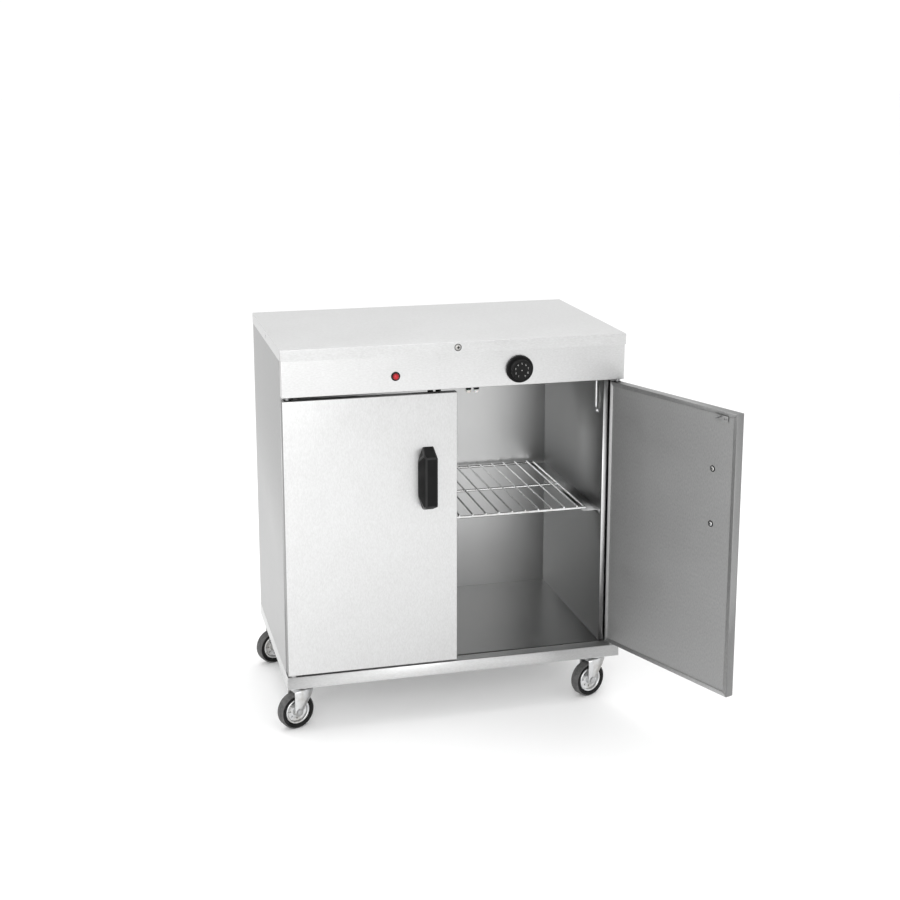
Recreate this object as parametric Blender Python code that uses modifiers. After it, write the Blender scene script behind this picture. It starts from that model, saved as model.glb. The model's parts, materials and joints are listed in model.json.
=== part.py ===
"""Mobile heated holding cabinet: a double-skinned steel cupboard on four swivel castors.

Frame: +X to the user's right, +Y to the back, +Z up. The origin is on the floor, under the middle of
the whole object's box, with the left door shut and the right door open. Everything is in metres.
"""

import math

import bmesh
import bpy
from mathutils import Matrix, Vector

MM = 0.001

# ---- driving dimensions -------------------------------------------------------------------------
WIDTH = 750 * MM            # casing, left to right
DEPTH = 455 * MM            # casing, front to back
CASING_HEIGHT = 741 * MM    # underside of the base tray to the worktop
SHEET = 1.5 * MM            # casing and liner sheet
FIT = 0.3 * MM              # gap between pieces that touch
SMOOTH_ANGLE = math.radians(35)

TOP_LIP = 24 * MM           # turned-down edge of the worktop
FASCIA_HEIGHT = 101 * MM    # control fascia, worktop included
BASE_HEIGHT = 28 * MM
BASE_LIP = 26 * MM          # turned-in top edge of the base tray
WALL = 38 * MM              # outer face of a side to the cavity
BACK_WALL = 20 * MM
SIDE_RETURN = 22 * MM       # turned-in front and back edges of a side panel
LINER_HEM = 10 * MM

DOOR_THICKNESS = 20 * MM
DOOR_SETBACK = 8 * MM       # door's inner face to the front of the side panels
DOOR_LIP = 9 * MM           # turned-in inner edge of the door's outer skin
DOOR_SKIN = 1.2 * MM
DOOR_SIDE_GAP = 2 * MM
DOOR_CENTRE_GAP = 3 * MM    # between the two doors
DOOR_BOTTOM_GAP = 3 * MM
DOOR_TOP_GAP = 7 * MM
DOOR_OPEN = math.radians(112)   # right door, as it stands
PIVOT_INSET = 14 * MM       # pivot axis from the casing's side
PIVOT_RADIUS = 4 * MM
PIVOT_REACH = 14 * MM       # pin inside the door
PIVOT_CLEARANCE = 0.3 * MM
PIVOT_HEAD_RADIUS = 6.4 * MM
PIVOT_HEAD = 5 * MM

HANDLE_LENGTH = 140 * MM
HANDLE_WIDTH = 35 * MM
HANDLE_HEIGHT = 38 * MM     # how far it stands off the door
HANDLE_GRIP = 26 * MM       # width of its front face
HANDLE_TAPER = 15.5 * MM    # how much each end leans in
HANDLE_CORNER = (10 * MM, 30 * MM)   # cut off the closed side's corners, across and along
HANDLE_ROUND = 2 * MM
HANDLE_FROM_EDGE = 51.5 * MM    # its open side to the door's free edge
HANDLE_RAISE = 117 * MM     # its middle above the door's middle
POCKET_END = 24 * MM        # solid end past the finger pocket, which opens towards the door's free edge
POCKET_WIDTH = 21 * MM
POCKET_FRONT = 5 * MM       # wall in front of the pocket
HANDLE_SCREW_END = 11.5 * MM    # screw to the handle's end
HANDLE_SCREW_INSET = 11 * MM    # screw line to the handle's open side
HANDLE_SCREW_BITE = 9 * MM
SCREW_RADIUS = 2 * MM
SCREW_HEAD_RADIUS = 4.2 * MM
SCREW_HEAD = 2.2 * MM

KNOB_X = 135 * MM           # from the casing's centre line
KNOB_DROP = 65 * MM         # below the worktop
KNOB_SKIRT_RADIUS = 29.5 * MM
KNOB_SKIRT = 5 * MM
KNOB_GRIP_RADIUS = 22.5 * MM
KNOB_LENGTH = 20 * MM
KNOB_EDGE = 2 * MM          # chamfer of its face
KNOB_DRAFT = 1 * MM
KNOB_STAND = 1 * MM         # gap behind the knob
KNOB_SOCKET = 12 * MM       # depth of its spindle hole
SPINDLE_RADIUS = 3 * MM
SPINDLE_CLEARANCE = 0.3 * MM
LAMP_X = -134 * MM
LAMP_DROP = 67 * MM
LAMP_RADIUS = 9.8 * MM
LAMP_BEZEL = 3 * MM
LAMP_EDGE = 1.2 * MM        # straight part of the bezel's rim
LAMP_WALL = 1.1 * MM        # of its barrel
LAMP_LENGTH = 24 * MM       # behind the fascia
LENS_RADIUS = 6.8 * MM
LENS_DOME = 5 * MM
FASCIA_SCREW_DROP = 12 * MM
FASCIA_SCREW_LENGTH = 9 * MM
FASCIA_SCREW_HEAD_RADIUS = 6.5 * MM

CAPILLARY_RADIUS = 1.2 * MM
CAPILLARY_BEND = 12 * MM
BULB_RADIUS = 3 * MM
BULB_LENGTH = 62 * MM
BULB_TOP_DROP = 12 * MM     # below the cavity's ceiling
BULB_WALL_GAP = 2 * MM
BULB_SETBACK = 34 * MM      # behind the front of the side panels
CLIP_RADIUS = 4.5 * MM
THERMOSTAT_SIZE = (44 * MM, 34 * MM, 36 * MM)
THERMOSTAT_SETBACK = 5 * MM
ELEMENT_RADIUS = 4 * MM
ELEMENT_RUNS = 4
ELEMENT_MARGIN_X = 110 * MM
ELEMENT_MARGIN_Y = 70 * MM
ELEMENT_HEIGHT = 12 * MM    # axis above the base tray's underside
GLAND_NECK_RADIUS = 8 * MM
GLAND_RADIUS = 12 * MM
GLAND_BORE_RADIUS = 4 * MM
GLAND_NUT = 7 * MM
GLAND_NECK = 12 * MM
GLAND_FROM_SIDE = 60 * MM

SHELF_HEIGHT = 345 * MM     # top of the front rail above the underside of the base tray
SHELF_SIDE_GAP = 31 * MM    # to the cavity's side face
SHELF_FRONT_GAP = 12 * MM   # behind the front of the side panels
SHELF_BACK_GAP = 12 * MM
RAIL_RADIUS = 3.2 * MM
ROD_RADIUS = 2.0 * MM
ROD_PITCH = 30 * MM
ROD_SINK = 1.2 * MM         # weld overlap of rod and rail
RUNNER_REACH = 42 * MM
RUNNER_DROP = 14 * MM
RUNNER_LEAD = 6 * MM        # runner in front of the shelf

CATCH_INSET = 42 * MM       # from the cabinet's centre line
CATCH_ROLLER_RADIUS = 6 * MM
CATCH_DEPTH = 12 * MM       # roller axes behind the front of the side panels
CATCH_LENGTH = 18 * MM      # of a roller, its end in the plate included
CATCH_DOME = 5 * MM
CATCH_PLATE = 4 * MM
CATCH_FRONT = 5 * MM        # plate in front of the roller axes
CATCH_REAR = 9 * MM
STRIKE_TONGUE = 2.0 * MM
STRIKE_SIDE_GAP = 1.75 * MM     # tongue to each roller
STRIKE_WIDTH = 34 * MM
STRIKE_HEIGHT = 12 * MM
STRIKE_DROP = 15 * MM       # its middle below the door's top
TONGUE_DROP = 9 * MM
TONGUE_HEIGHT = 4 * MM

WHEEL_RADIUS = 40 * MM
TYRE_WIDTH = 24 * MM
TYRE_DEPTH = 11 * MM
TYRE_SHOULDER = 4 * MM
TYRE_DISH = 3 * MM          # tyre's side face narrows this much to the rim
RIM_INSET = 2.5 * MM        # rim narrower than the tyre, each side
RIM_EDGE = 3 * MM           # rolled edge
WEB_THICKNESS = 9.5 * MM
HUB_RADIUS = 9 * MM
HUB_FLARE = 1 * MM
HUB_GAP = 1 * MM            # hub to a fork cheek
AXLE_RADIUS = 4 * MM
AXLE_CLEARANCE = 0.3 * MM
AXLE_HEAD_RADIUS = 7.2 * MM
AXLE_HEAD = 2.7 * MM
CASTOR_SIDE_INSET = 40 * MM
CASTOR_END_INSET = 46 * MM
CASTOR_TRAIL = 20 * MM
CASTOR_YAW = math.radians(20)
CASTOR_PLATE = 60 * MM
CASTOR_PLATE_THICKNESS = 3 * MM
CASTOR_NUT_RADIUS = 5 * MM
CASTOR_NUT = 4 * MM
CASTOR_NUT_INSET = 9 * MM
FORK_SHEET = 2.5 * MM
FORK_SIDE_GAP = 2.5 * MM    # cheek to the tyre
FORK_WIDTH = 45 * MM        # of a cheek at the crown
FORK_TIP = 9.5 * MM         # radius of a cheek round its axle
FORK_SHOULDER = (30 * MM, 38 * MM)   # where a cheek starts to narrow: above the axle, and its width
CROWN_GAP = 5.5 * MM        # tyre to the crown
RACE_RADIUS = 17 * MM
RACE_DEPTH = 11.7 * MM
RACE_GAP = 1 * MM           # between the race and the crown
KING_PIN_RADIUS = 6 * MM

# ---- derived planes -----------------------------------------------------------------------------
CROWN_TOP = 2 * WHEEL_RADIUS + CROWN_GAP + FORK_SHEET
BASE_Z = CROWN_TOP + RACE_GAP + RACE_DEPTH + CASTOR_PLATE_THICKNESS + FIT
BASE_TOP = BASE_Z + BASE_HEIGHT
TOP_Z = BASE_Z + CASING_HEIGHT
CEILING_Z = TOP_Z - FASCIA_HEIGHT            # underside of the fascia and of the cavity's ceiling
FRONT = -DEPTH / 2
BACK = DEPTH / 2
SIDE_FRONT = FRONT + DOOR_THICKNESS + DOOR_SETBACK
INNER_X = WIDTH / 2 - SHEET - FIT            # outer face of what the worktop's lip covers
LINER_X = WIDTH / 2 - WALL                   # cavity's side faces
LINER_Y = BACK - BACK_WALL                   # cavity's back face
PANEL_BOTTOM = BASE_TOP + FIT
PANEL_TOP = TOP_Z - SHEET - FIT
PANEL_BACK = BACK - SHEET - FIT              # outer face of the back panel
FASCIA_FACE = FRONT + SHEET + FIT
KNOB_Z = TOP_Z - KNOB_DROP
LAMP_Z = TOP_Z - LAMP_DROP
DOOR_WIDTH = WIDTH / 2 - DOOR_SIDE_GAP - DOOR_CENTRE_GAP / 2
DOOR_BOTTOM = BASE_TOP + DOOR_BOTTOM_GAP
DOOR_HEIGHT = CEILING_Z - DOOR_TOP_GAP - DOOR_BOTTOM
PIVOT_X = WIDTH / 2 - PIVOT_INSET
PIVOT_Y = FRONT + DOOR_THICKNESS / 2
HINGE_EDGE = PIVOT_INSET - DOOR_SIDE_GAP     # pivot axis to the door's hinge edge
HANDLE_Z = DOOR_BOTTOM + DOOR_HEIGHT / 2 + HANDLE_RAISE
SHELF_Z = BASE_Z + SHELF_HEIGHT
LAMP_NECK_RADIUS = LENS_RADIUS + FIT + LAMP_WALL
CATCH_ROLLER_PITCH = 2 * CATCH_ROLLER_RADIUS + STRIKE_TONGUE + 2 * STRIKE_SIDE_GAP
AXLE_Z = WHEEL_RADIUS
FORK_GAP = TYRE_WIDTH + 2 * FORK_SIDE_GAP


# ---- scene and helpers --------------------------------------------------------------------------
def clear_scene():
    for obj in list(bpy.data.objects):
        bpy.data.objects.remove(obj)
    for name in ("holding_cabinet", "cutters"):
        collection = bpy.data.collections.new(name)
        bpy.context.scene.collection.children.link(collection)
    bpy.data.collections["cutters"].hide_render = True


def finish_material(name, colour, roughness, metallic):
    made = bpy.data.materials.new(name)
    made.use_nodes = True
    shader = made.node_tree.nodes["Principled BSDF"]
    shader.inputs["Base Color"].default_value = (*colour, 1.0)
    shader.inputs["Roughness"].default_value = roughness
    shader.inputs["Metallic"].default_value = metallic
    return made


def make_materials():
    return {
        "steel": finish_material("steel", (0.62, 0.62, 0.61), 0.32, 1.0),
        "liner": finish_material("liner", (0.48, 0.49, 0.49), 0.22, 1.0),
        "chrome": finish_material("chrome", (0.72, 0.72, 0.73), 0.15, 1.0),
        "zinc": finish_material("zinc", (0.66, 0.67, 0.69), 0.35, 1.0),
        "black": finish_material("black", (0.012, 0.013, 0.013), 0.45, 0.0),
        "lamp": finish_material("lamp", (0.55, 0.01, 0.015), 0.2, 0.0),
        "tyre": finish_material("tyre", (0.09, 0.09, 0.095), 0.75, 0.0),
        "rim": finish_material("rim", (0.55, 0.56, 0.57), 0.4, 0.6),
        "nylon": finish_material("nylon", (0.78, 0.78, 0.75), 0.5, 0.0),
        "copper": finish_material("copper", (0.62, 0.55, 0.47), 0.35, 1.0),
    }


def place(obj, name, material=None, parent=None, collection="holding_cabinet"):
    """Names an object, gives it its material, its collection and its parent."""
    obj.name = name
    obj.data.name = name
    for old in list(obj.users_collection):
        old.objects.unlink(obj)
    bpy.data.collections[collection].objects.link(obj)
    if material:
        obj.data.materials.clear()
        obj.data.materials.append(MATERIALS[material])
    obj.parent = parent
    return obj


def helper(obj):
    """Marks an object as a cutter, or as a shape that a union takes in."""
    obj.hide_render = True
    obj.display_type = "WIRE"
    return obj


def pivot(name, position, turn=0.0, parent=None):
    """An empty on a joint's axis, turned about +Z."""
    empty = bpy.data.objects.new(name, None)
    bpy.data.collections["holding_cabinet"].objects.link(empty)
    empty.location = position
    empty.rotation_euler = (0, 0, turn)
    empty.parent = parent
    return empty


def smooth(obj):
    obj.data.shade_smooth()
    obj.data.set_sharp_from_angle(angle=SMOOTH_ANGLE)
    return obj


def box(name, low, high, material=None, parent=None, collection="holding_cabinet"):
    low, high = Vector(low), Vector(high)
    bpy.ops.mesh.primitive_cube_add(size=1)
    obj = bpy.context.object
    size = high - low
    obj.data.transform(Matrix.Translation((low + high) / 2) @ Matrix.Diagonal((*size, 1)))
    return place(obj, name, material, parent, collection)


def aim(direction):
    """The rotation that turns +Z to a direction."""
    return Vector(direction).to_track_quat("Z", "Y").to_matrix().to_4x4()


def rod(name, start, end, radius, material=None, parent=None, sides=16, collection="holding_cabinet"):
    """A round bar between two points."""
    start, end = Vector(start), Vector(end)
    bpy.ops.mesh.primitive_cylinder_add(vertices=sides, radius=radius, depth=(end - start).length)
    obj = bpy.context.object
    obj.data.transform(Matrix.Translation((start + end) / 2) @ aim(end - start))
    return smooth(place(obj, name, material, parent, collection))


def turned(name, profile, base, direction, material=None, parent=None, steps=32, **where):
    """A turned piece: the profile is (radius, height) from top to bottom on the outer side."""
    mesh = bpy.data.meshes.new(name)
    verts = [(radius, 0, height) for radius, height in profile]
    mesh.from_pydata(verts, [(i, i + 1) for i in range(len(verts) - 1)], [])
    obj = bpy.data.objects.new(name, mesh)
    bpy.context.scene.collection.objects.link(obj)
    obj.matrix_world = Matrix.Translation(base) @ aim(direction)
    place(obj, name, material, parent, **where)
    screw = obj.modifiers.new("turn", "SCREW")
    screw.steps = screw.render_steps = steps
    screw.use_merge_vertices = True
    screw.merge_threshold = 0.01 * MM
    screw.use_smooth_shade = True
    return obj


def pan(name, low, high, open_side, thickness, material, parent=None, lip=0.0):
    """A folded tray of sheet: a box with one side open, or open inside a turned-in lip."""
    obj = box(name, low, high, material, parent)
    shape = bmesh.new()
    shape.from_mesh(obj.data)
    normal = Vector(open_side)
    face = max(shape.faces, key=lambda f: f.normal.dot(normal))
    if lip:
        bmesh.ops.inset_region(shape, faces=[face], thickness=lip)
    bmesh.ops.delete(shape, geom=[face], context="FACES_ONLY")
    shape.to_mesh(obj.data)
    shape.free()
    solidify(obj, thickness, -1)
    return obj


def solidify(obj, thickness, offset):
    """Gives an open sheet its wall, inwards from its faces for an offset of -1."""
    wall = obj.modifiers.new("wall", "SOLIDIFY")
    wall.thickness = thickness
    wall.offset = offset
    wall.use_even_offset = True


def folded(name, path, bottom, top, thickness, offset, material):
    """A sheet folded along a plan path of (x, y) points, standing from bottom to top."""
    mesh = bpy.data.meshes.new(name)
    obj = bpy.data.objects.new(name, mesh)
    bpy.context.scene.collection.objects.link(obj)
    shape = bmesh.new()
    line = [shape.verts.new((x, y, bottom)) for x, y in path]
    edges = [shape.edges.new(pair) for pair in zip(line, line[1:])]
    raised = bmesh.ops.extrude_edge_only(shape, edges=edges)["geom"]
    corners = [v for v in raised if isinstance(v, bmesh.types.BMVert)]
    bmesh.ops.translate(shape, verts=corners, vec=(0, 0, top - bottom))
    shape.to_mesh(mesh)
    shape.free()
    place(obj, name, material)
    solidify(obj, thickness, offset)
    return obj


def prism(name, outline, depth, matrix, collection="holding_cabinet", material=None, parent=None):
    """A flat outline of (x, y) points made depth thick about its own plane, then placed by matrix."""
    curve = bpy.data.curves.new(name, "CURVE")
    curve.dimensions = "2D"
    curve.fill_mode = "BOTH"
    curve.extrude = depth / 2
    spline = curve.splines.new("POLY")
    spline.points.add(len(outline) - 1)
    for point, (x, y) in zip(spline.points, outline):
        point.co = (x, y, 0, 1)
    spline.use_cyclic_u = True
    flat = bpy.data.objects.new(name, curve)
    bpy.context.scene.collection.objects.link(flat)
    return as_mesh(flat, name, material, parent, collection, matrix)


def as_mesh(curve_object, name, material, parent, collection, matrix=None):
    """Swaps a curve object for its closed mesh."""
    bpy.context.view_layer.update()
    graph = bpy.context.evaluated_depsgraph_get()
    mesh = bpy.data.meshes.new_from_object(curve_object.evaluated_get(graph))
    shape = bmesh.new()
    shape.from_mesh(mesh)
    bmesh.ops.remove_doubles(shape, verts=shape.verts, dist=0.01 * MM)
    bmesh.ops.recalc_face_normals(shape, faces=shape.faces)
    shape.to_mesh(mesh)
    shape.free()
    if matrix is not None:
        mesh.transform(matrix)
    obj = bpy.data.objects.new(name, mesh)
    obj.matrix_world = curve_object.matrix_world
    bpy.context.scene.collection.objects.link(obj)
    bpy.data.objects.remove(curve_object)
    return place(obj, name, material, parent, collection)


def tube(name, points, radius, material, parent=None, resolution=2):
    """A round wire along a list of points, with closed ends."""
    curve = bpy.data.curves.new(name, "CURVE")
    curve.dimensions = "3D"
    curve.bevel_depth = radius
    curve.bevel_resolution = resolution
    curve.use_fill_caps = True
    spline = curve.splines.new("POLY")
    spline.points.add(len(points) - 1)
    for point, position in zip(spline.points, points):
        point.co = (*position, 1)
    obj = bpy.data.objects.new(name, curve)
    bpy.context.scene.collection.objects.link(obj)
    return place(obj, name, material, parent)


def screw_profile(length, head_radius=SCREW_HEAD_RADIUS):
    """A pan-head screw's outline, its head above zero and its shank below."""
    crown = SCREW_HEAD / 2
    return [(0, SCREW_HEAD), (head_radius - crown, SCREW_HEAD), (head_radius, crown), (head_radius, 0),
            (SCREW_RADIUS, 0), (SCREW_RADIUS, -length), (0, -length)]


def boolean(obj, other, operation):
    """Cuts a helper from an object, or joins it on."""
    step = obj.modifiers.new(operation.lower(), "BOOLEAN")
    step.operation = operation
    step.object = helper(other)
    return obj


def drill(obj, start, end, radius, parent=None, sides=24):
    """A round hole through an object, along a line that runs past both its faces."""
    bore = rod(obj.name + "_bore", start, end, radius, None, parent, sides, "cutters")
    return boolean(obj, bore, "DIFFERENCE")


# ---- casing -------------------------------------------------------------------------------------
def worktop_and_base(root):
    top = pan("top_panel", (-WIDTH / 2, FRONT, TOP_Z - TOP_LIP), (WIDTH / 2, BACK, TOP_Z),
              (0, 0, -1), SHEET, "steel", root)
    screw_z = TOP_Z - FASCIA_SCREW_DROP
    drill(top, (0, FRONT - SHEET, screw_z), (0, FRONT + 3 * SHEET, screw_z), SCREW_RADIUS + FIT, root)
    base = pan("base_tray", (-WIDTH / 2, FRONT, BASE_Z), (WIDTH / 2, BACK, BASE_TOP),
               (0, 0, 1), SHEET, "steel", root, BASE_LIP)
    for side in (-1, 1):
        foot = (side * PIVOT_X, PIVOT_Y, BASE_TOP - SHEET / 2)
        tip = (side * PIVOT_X, PIVOT_Y, DOOR_BOTTOM + PIVOT_REACH)
        stud = rod(f"stud_{side}", foot, tip, PIVOT_RADIUS, None, root, 16, "cutters")
        boolean(base, stud, "UNION")


def side_panels(root):
    back_edge = PANEL_BACK - SHEET - FIT
    for label, side in (("left", -1), ("right", 1)):
        outer = side * INNER_X
        turned_in = side * (INNER_X - SIDE_RETURN)
        path = [(turned_in, SIDE_FRONT), (outer, SIDE_FRONT), (outer, back_edge), (turned_in, back_edge)]
        folded(f"side_panel_{label}", path, PANEL_BOTTOM, PANEL_TOP, SHEET, side, "steel").parent = root


def back_and_fascia(root):
    back = box("back_panel", (-INNER_X, PANEL_BACK - SHEET, PANEL_BOTTOM), (INNER_X, PANEL_BACK, PANEL_TOP),
               "steel", root)
    gland_x, gland_z = cable_gland_centre()
    drill(back, (gland_x, PANEL_BACK - 4 * SHEET, gland_z), (gland_x, PANEL_BACK + 2 * SHEET, gland_z),
          GLAND_NECK_RADIUS + FIT, root)

    fascia = pan("fascia_panel", (-INNER_X, FASCIA_FACE, CEILING_Z), (INNER_X, SIDE_FRONT - FIT, PANEL_TOP),
                 (0, 1, 0), SHEET, "steel", root)
    through = 4 * SHEET
    holes = ((KNOB_X, KNOB_Z, SPINDLE_RADIUS + SPINDLE_CLEARANCE),
             (LAMP_X, LAMP_Z, LAMP_NECK_RADIUS + FIT),
             (0, TOP_Z - FASCIA_SCREW_DROP, SCREW_RADIUS + FIT))
    for x, z, radius in holes:
        drill(fascia, (x, FASCIA_FACE - through, z), (x, FASCIA_FACE + through, z), radius, root)
    for side in (-1, 1):
        x = side * PIVOT_X
        drill(fascia, (x, PIVOT_Y, CEILING_Z - through), (x, PIVOT_Y, CEILING_Z + through),
              PIVOT_RADIUS + PIVOT_CLEARANCE, root)
        # Hanger bolt: its head rests on the fascia's turned-in underside, its shank enters the door.
        head_z = CEILING_Z + SHEET + FIT
        shank_end = CEILING_Z - DOOR_TOP_GAP - PIVOT_REACH
        profile = [(0, PIVOT_HEAD), (PIVOT_HEAD_RADIUS, PIVOT_HEAD), (PIVOT_HEAD_RADIUS, 0),
                   (PIVOT_RADIUS, 0), (PIVOT_RADIUS, shank_end - head_z), (0, shank_end - head_z)]
        label = "right" if side > 0 else "left"
        turned(f"pivot_bolt_{label}", profile, (x, PIVOT_Y, head_z), (0, 0, 1), "zinc", root, 16)
    turned("fascia_screw", screw_profile(FASCIA_SCREW_LENGTH, FASCIA_SCREW_HEAD_RADIUS),
           (0, FRONT - FIT, TOP_Z - FASCIA_SCREW_DROP), (0, -1, 0), "zinc", root, 16)


def liner(root):
    side_back = LINER_Y - FIT
    for label, side in (("left", -1), ("right", 1)):
        wall = side * LINER_X
        hem = side * (LINER_X + LINER_HEM)
        path = [(hem, SIDE_FRONT), (wall, SIDE_FRONT), (wall, side_back)]
        obj = folded(f"liner_{label}", path, PANEL_BOTTOM, CEILING_Z - FIT, SHEET, -side, "liner")
        obj.parent = root
    box("liner_back", (-LINER_X - SHEET, LINER_Y, PANEL_BOTTOM),
        (LINER_X + SHEET, LINER_Y + SHEET, CEILING_Z - FIT), "liner", root)
    box("cavity_floor", (-LINER_X + FIT, SIDE_FRONT, PANEL_BOTTOM),
        (LINER_X - FIT, LINER_Y - FIT, PANEL_BOTTOM + SHEET), "liner", root)
    reach = INNER_X - SHEET - FIT
    ceiling = box("cavity_ceiling", (-reach, SIDE_FRONT + SHEET + FIT, CEILING_Z),
                  (reach, PANEL_BACK - 2 * SHEET - 2 * FIT, CEILING_Z + SHEET), "liner", root)
    x, y = sensor_line()
    drill(ceiling, (x, y, CEILING_Z - 3 * SHEET), (x, y, CEILING_Z + 4 * SHEET),
          CAPILLARY_RADIUS + 2 * FIT, root)


# ---- heating and controls -----------------------------------------------------------------------

def sensor_line():
    """Plan position of the temperature sensor that hangs beside the right wall."""
    return LINER_X - BULB_WALL_GAP - BULB_RADIUS, SIDE_FRONT + BULB_SETBACK


def cable_gland_centre():
    return INNER_X - GLAND_FROM_SIDE, CEILING_Z + FASCIA_HEIGHT / 2


def thermostat(root, spin):
    wide, deep, high = THERMOSTAT_SIZE
    front = FASCIA_FACE + SHEET + THERMOSTAT_SETBACK
    body = box("thermostat_body", (KNOB_X - wide / 2, front, KNOB_Z - high / 2),
               (KNOB_X + wide / 2, front + deep, KNOB_Z + high / 2), "zinc", root)
    drill(body, (KNOB_X, front - deep, KNOB_Z), (KNOB_X, front + deep / 2, KNOB_Z),
          SPINDLE_RADIUS + SPINDLE_CLEARANCE, root)

    x, y = sensor_line()
    start = Vector((KNOB_X + wide / 2 + FIT, front + deep / 2, KNOB_Z))
    bulb_top = CEILING_Z - BULB_TOP_DROP
    route = [start, start + Vector((CAPILLARY_BEND, 0, 0)), Vector((x - CAPILLARY_BEND, y, KNOB_Z)),
             Vector((x, y, KNOB_Z - CAPILLARY_BEND)), Vector((x, y, bulb_top - BULB_RADIUS))]
    line = tube("capillary_line", route, CAPILLARY_RADIUS, None)
    line = as_mesh(line, "capillary_line", None, root, "cutters")
    profile = [(0, 0), (BULB_RADIUS / 2, 0), (BULB_RADIUS, -BULB_RADIUS), (BULB_RADIUS, -BULB_LENGTH),
               (0, -BULB_LENGTH - BULB_RADIUS / 2)]
    sensor = turned("sensor_bulb", profile, (x, y, bulb_top), (0, 0, 1), "copper", root, 12)
    boolean(sensor, line, "UNION")

    clip_z = bulb_top - BULB_LENGTH - BULB_RADIUS - CLIP_RADIUS
    eighth = CLIP_RADIUS * math.sqrt(0.5)
    profile = [(0, CLIP_RADIUS), (eighth, eighth), (CLIP_RADIUS, 0), (CLIP_RADIUS, -BULB_WALL_GAP),
               (0, -BULB_WALL_GAP)]
    turned("sensor_clip", profile, (LINER_X - FIT - BULB_WALL_GAP, y, clip_z), (-1, 0, 0), "zinc", root, 12)

    spindle_front = -KNOB_STAND - KNOB_SOCKET + FIT
    spindle_end = front + deep / 2 - 2 * FIT - FASCIA_FACE
    rod("thermostat_spindle", (0, spindle_front, 0), (0, spindle_end, 0), SPINDLE_RADIUS, "zinc", spin, 16)
    bore = SPINDLE_RADIUS + FIT
    tip = KNOB_STAND + KNOB_LENGTH
    step = KNOB_STAND + KNOB_SKIRT
    floor = KNOB_STAND + KNOB_SOCKET
    profile = [(0, tip), (KNOB_GRIP_RADIUS - KNOB_EDGE, tip), (KNOB_GRIP_RADIUS, tip - KNOB_EDGE),
               (KNOB_GRIP_RADIUS + KNOB_DRAFT, step), (KNOB_SKIRT_RADIUS - KNOB_DRAFT, step),
               (KNOB_SKIRT_RADIUS, step - KNOB_DRAFT), (KNOB_SKIRT_RADIUS, KNOB_STAND), (bore, KNOB_STAND),
               (bore, floor), (0, floor)]
    turned("thermostat_knob", profile, (0, 0, 0), (0, -1, 0), "black", spin, 32)


def lamp(root):
    """Neon indicator: a black bezel with a barrel behind the fascia, and a red lens in it."""
    seat = (LAMP_X, FASCIA_FACE - FIT, LAMP_Z)
    bore = LENS_RADIUS + FIT
    floor = -LAMP_LENGTH / 2
    crown = LAMP_RADIUS - (LAMP_BEZEL - LAMP_EDGE)
    profile = [(bore, LAMP_BEZEL), (crown, LAMP_BEZEL), (LAMP_RADIUS, LAMP_EDGE), (LAMP_RADIUS, 0),
               (LAMP_NECK_RADIUS, 0), (LAMP_NECK_RADIUS, -LAMP_LENGTH), (0, -LAMP_LENGTH), (0, floor),
               (bore, floor), (bore, LAMP_BEZEL)]
    turned("lamp_bezel", profile, seat, (0, -1, 0), "black", root, 24)
    dome = [(LENS_RADIUS * math.sin(angle), LAMP_BEZEL + LENS_DOME * math.cos(angle))
            for angle in (0, math.pi / 6, math.pi / 3)]
    profile = [*dome, (LENS_RADIUS, LAMP_BEZEL), (LENS_RADIUS, floor + FIT), (0, floor + FIT)]
    turned("lamp_lens", profile, seat, (0, -1, 0), "lamp", root, 20)


def cable_inlet(root):
    x, z = cable_gland_centre()
    chamfer = (GLAND_RADIUS - GLAND_NECK_RADIUS) / 2
    profile = [(GLAND_BORE_RADIUS, GLAND_NUT), (GLAND_RADIUS - chamfer, GLAND_NUT),
               (GLAND_RADIUS, GLAND_NUT - chamfer), (GLAND_RADIUS, 0), (GLAND_NECK_RADIUS, 0),
               (GLAND_NECK_RADIUS, -GLAND_NECK), (GLAND_BORE_RADIUS, -GLAND_NECK),
               (GLAND_BORE_RADIUS, GLAND_NUT)]
    turned("cable_gland", profile, (x, PANEL_BACK + FIT, z), (0, 1, 0), "black", root, 20)


def heating_element(root):
    """Serpentine tube in the base tray, with round bends and both ends at the right."""
    half_x = WIDTH / 2 - ELEMENT_MARGIN_X
    half_y = DEPTH / 2 - ELEMENT_MARGIN_Y
    pitch = 2 * half_y / (ELEMENT_RUNS - 1)
    bend_points = 7
    z = BASE_Z + ELEMENT_HEIGHT
    points = [(half_x, -half_y, z)]
    for run in range(ELEMENT_RUNS - 1):
        side = -1 if run % 2 == 0 else 1
        middle = -half_y + pitch * (run + 0.5)
        for step in range(bend_points):
            angle = math.pi * (step / (bend_points - 1) - 0.5)
            x = side * (half_x - pitch / 2 + pitch / 2 * math.cos(angle))
            points.append((x, middle + pitch / 2 * math.sin(angle), z))
    points.append((half_x, half_y, z))
    tube("heating_element", points, ELEMENT_RADIUS, "zinc", root)


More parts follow.
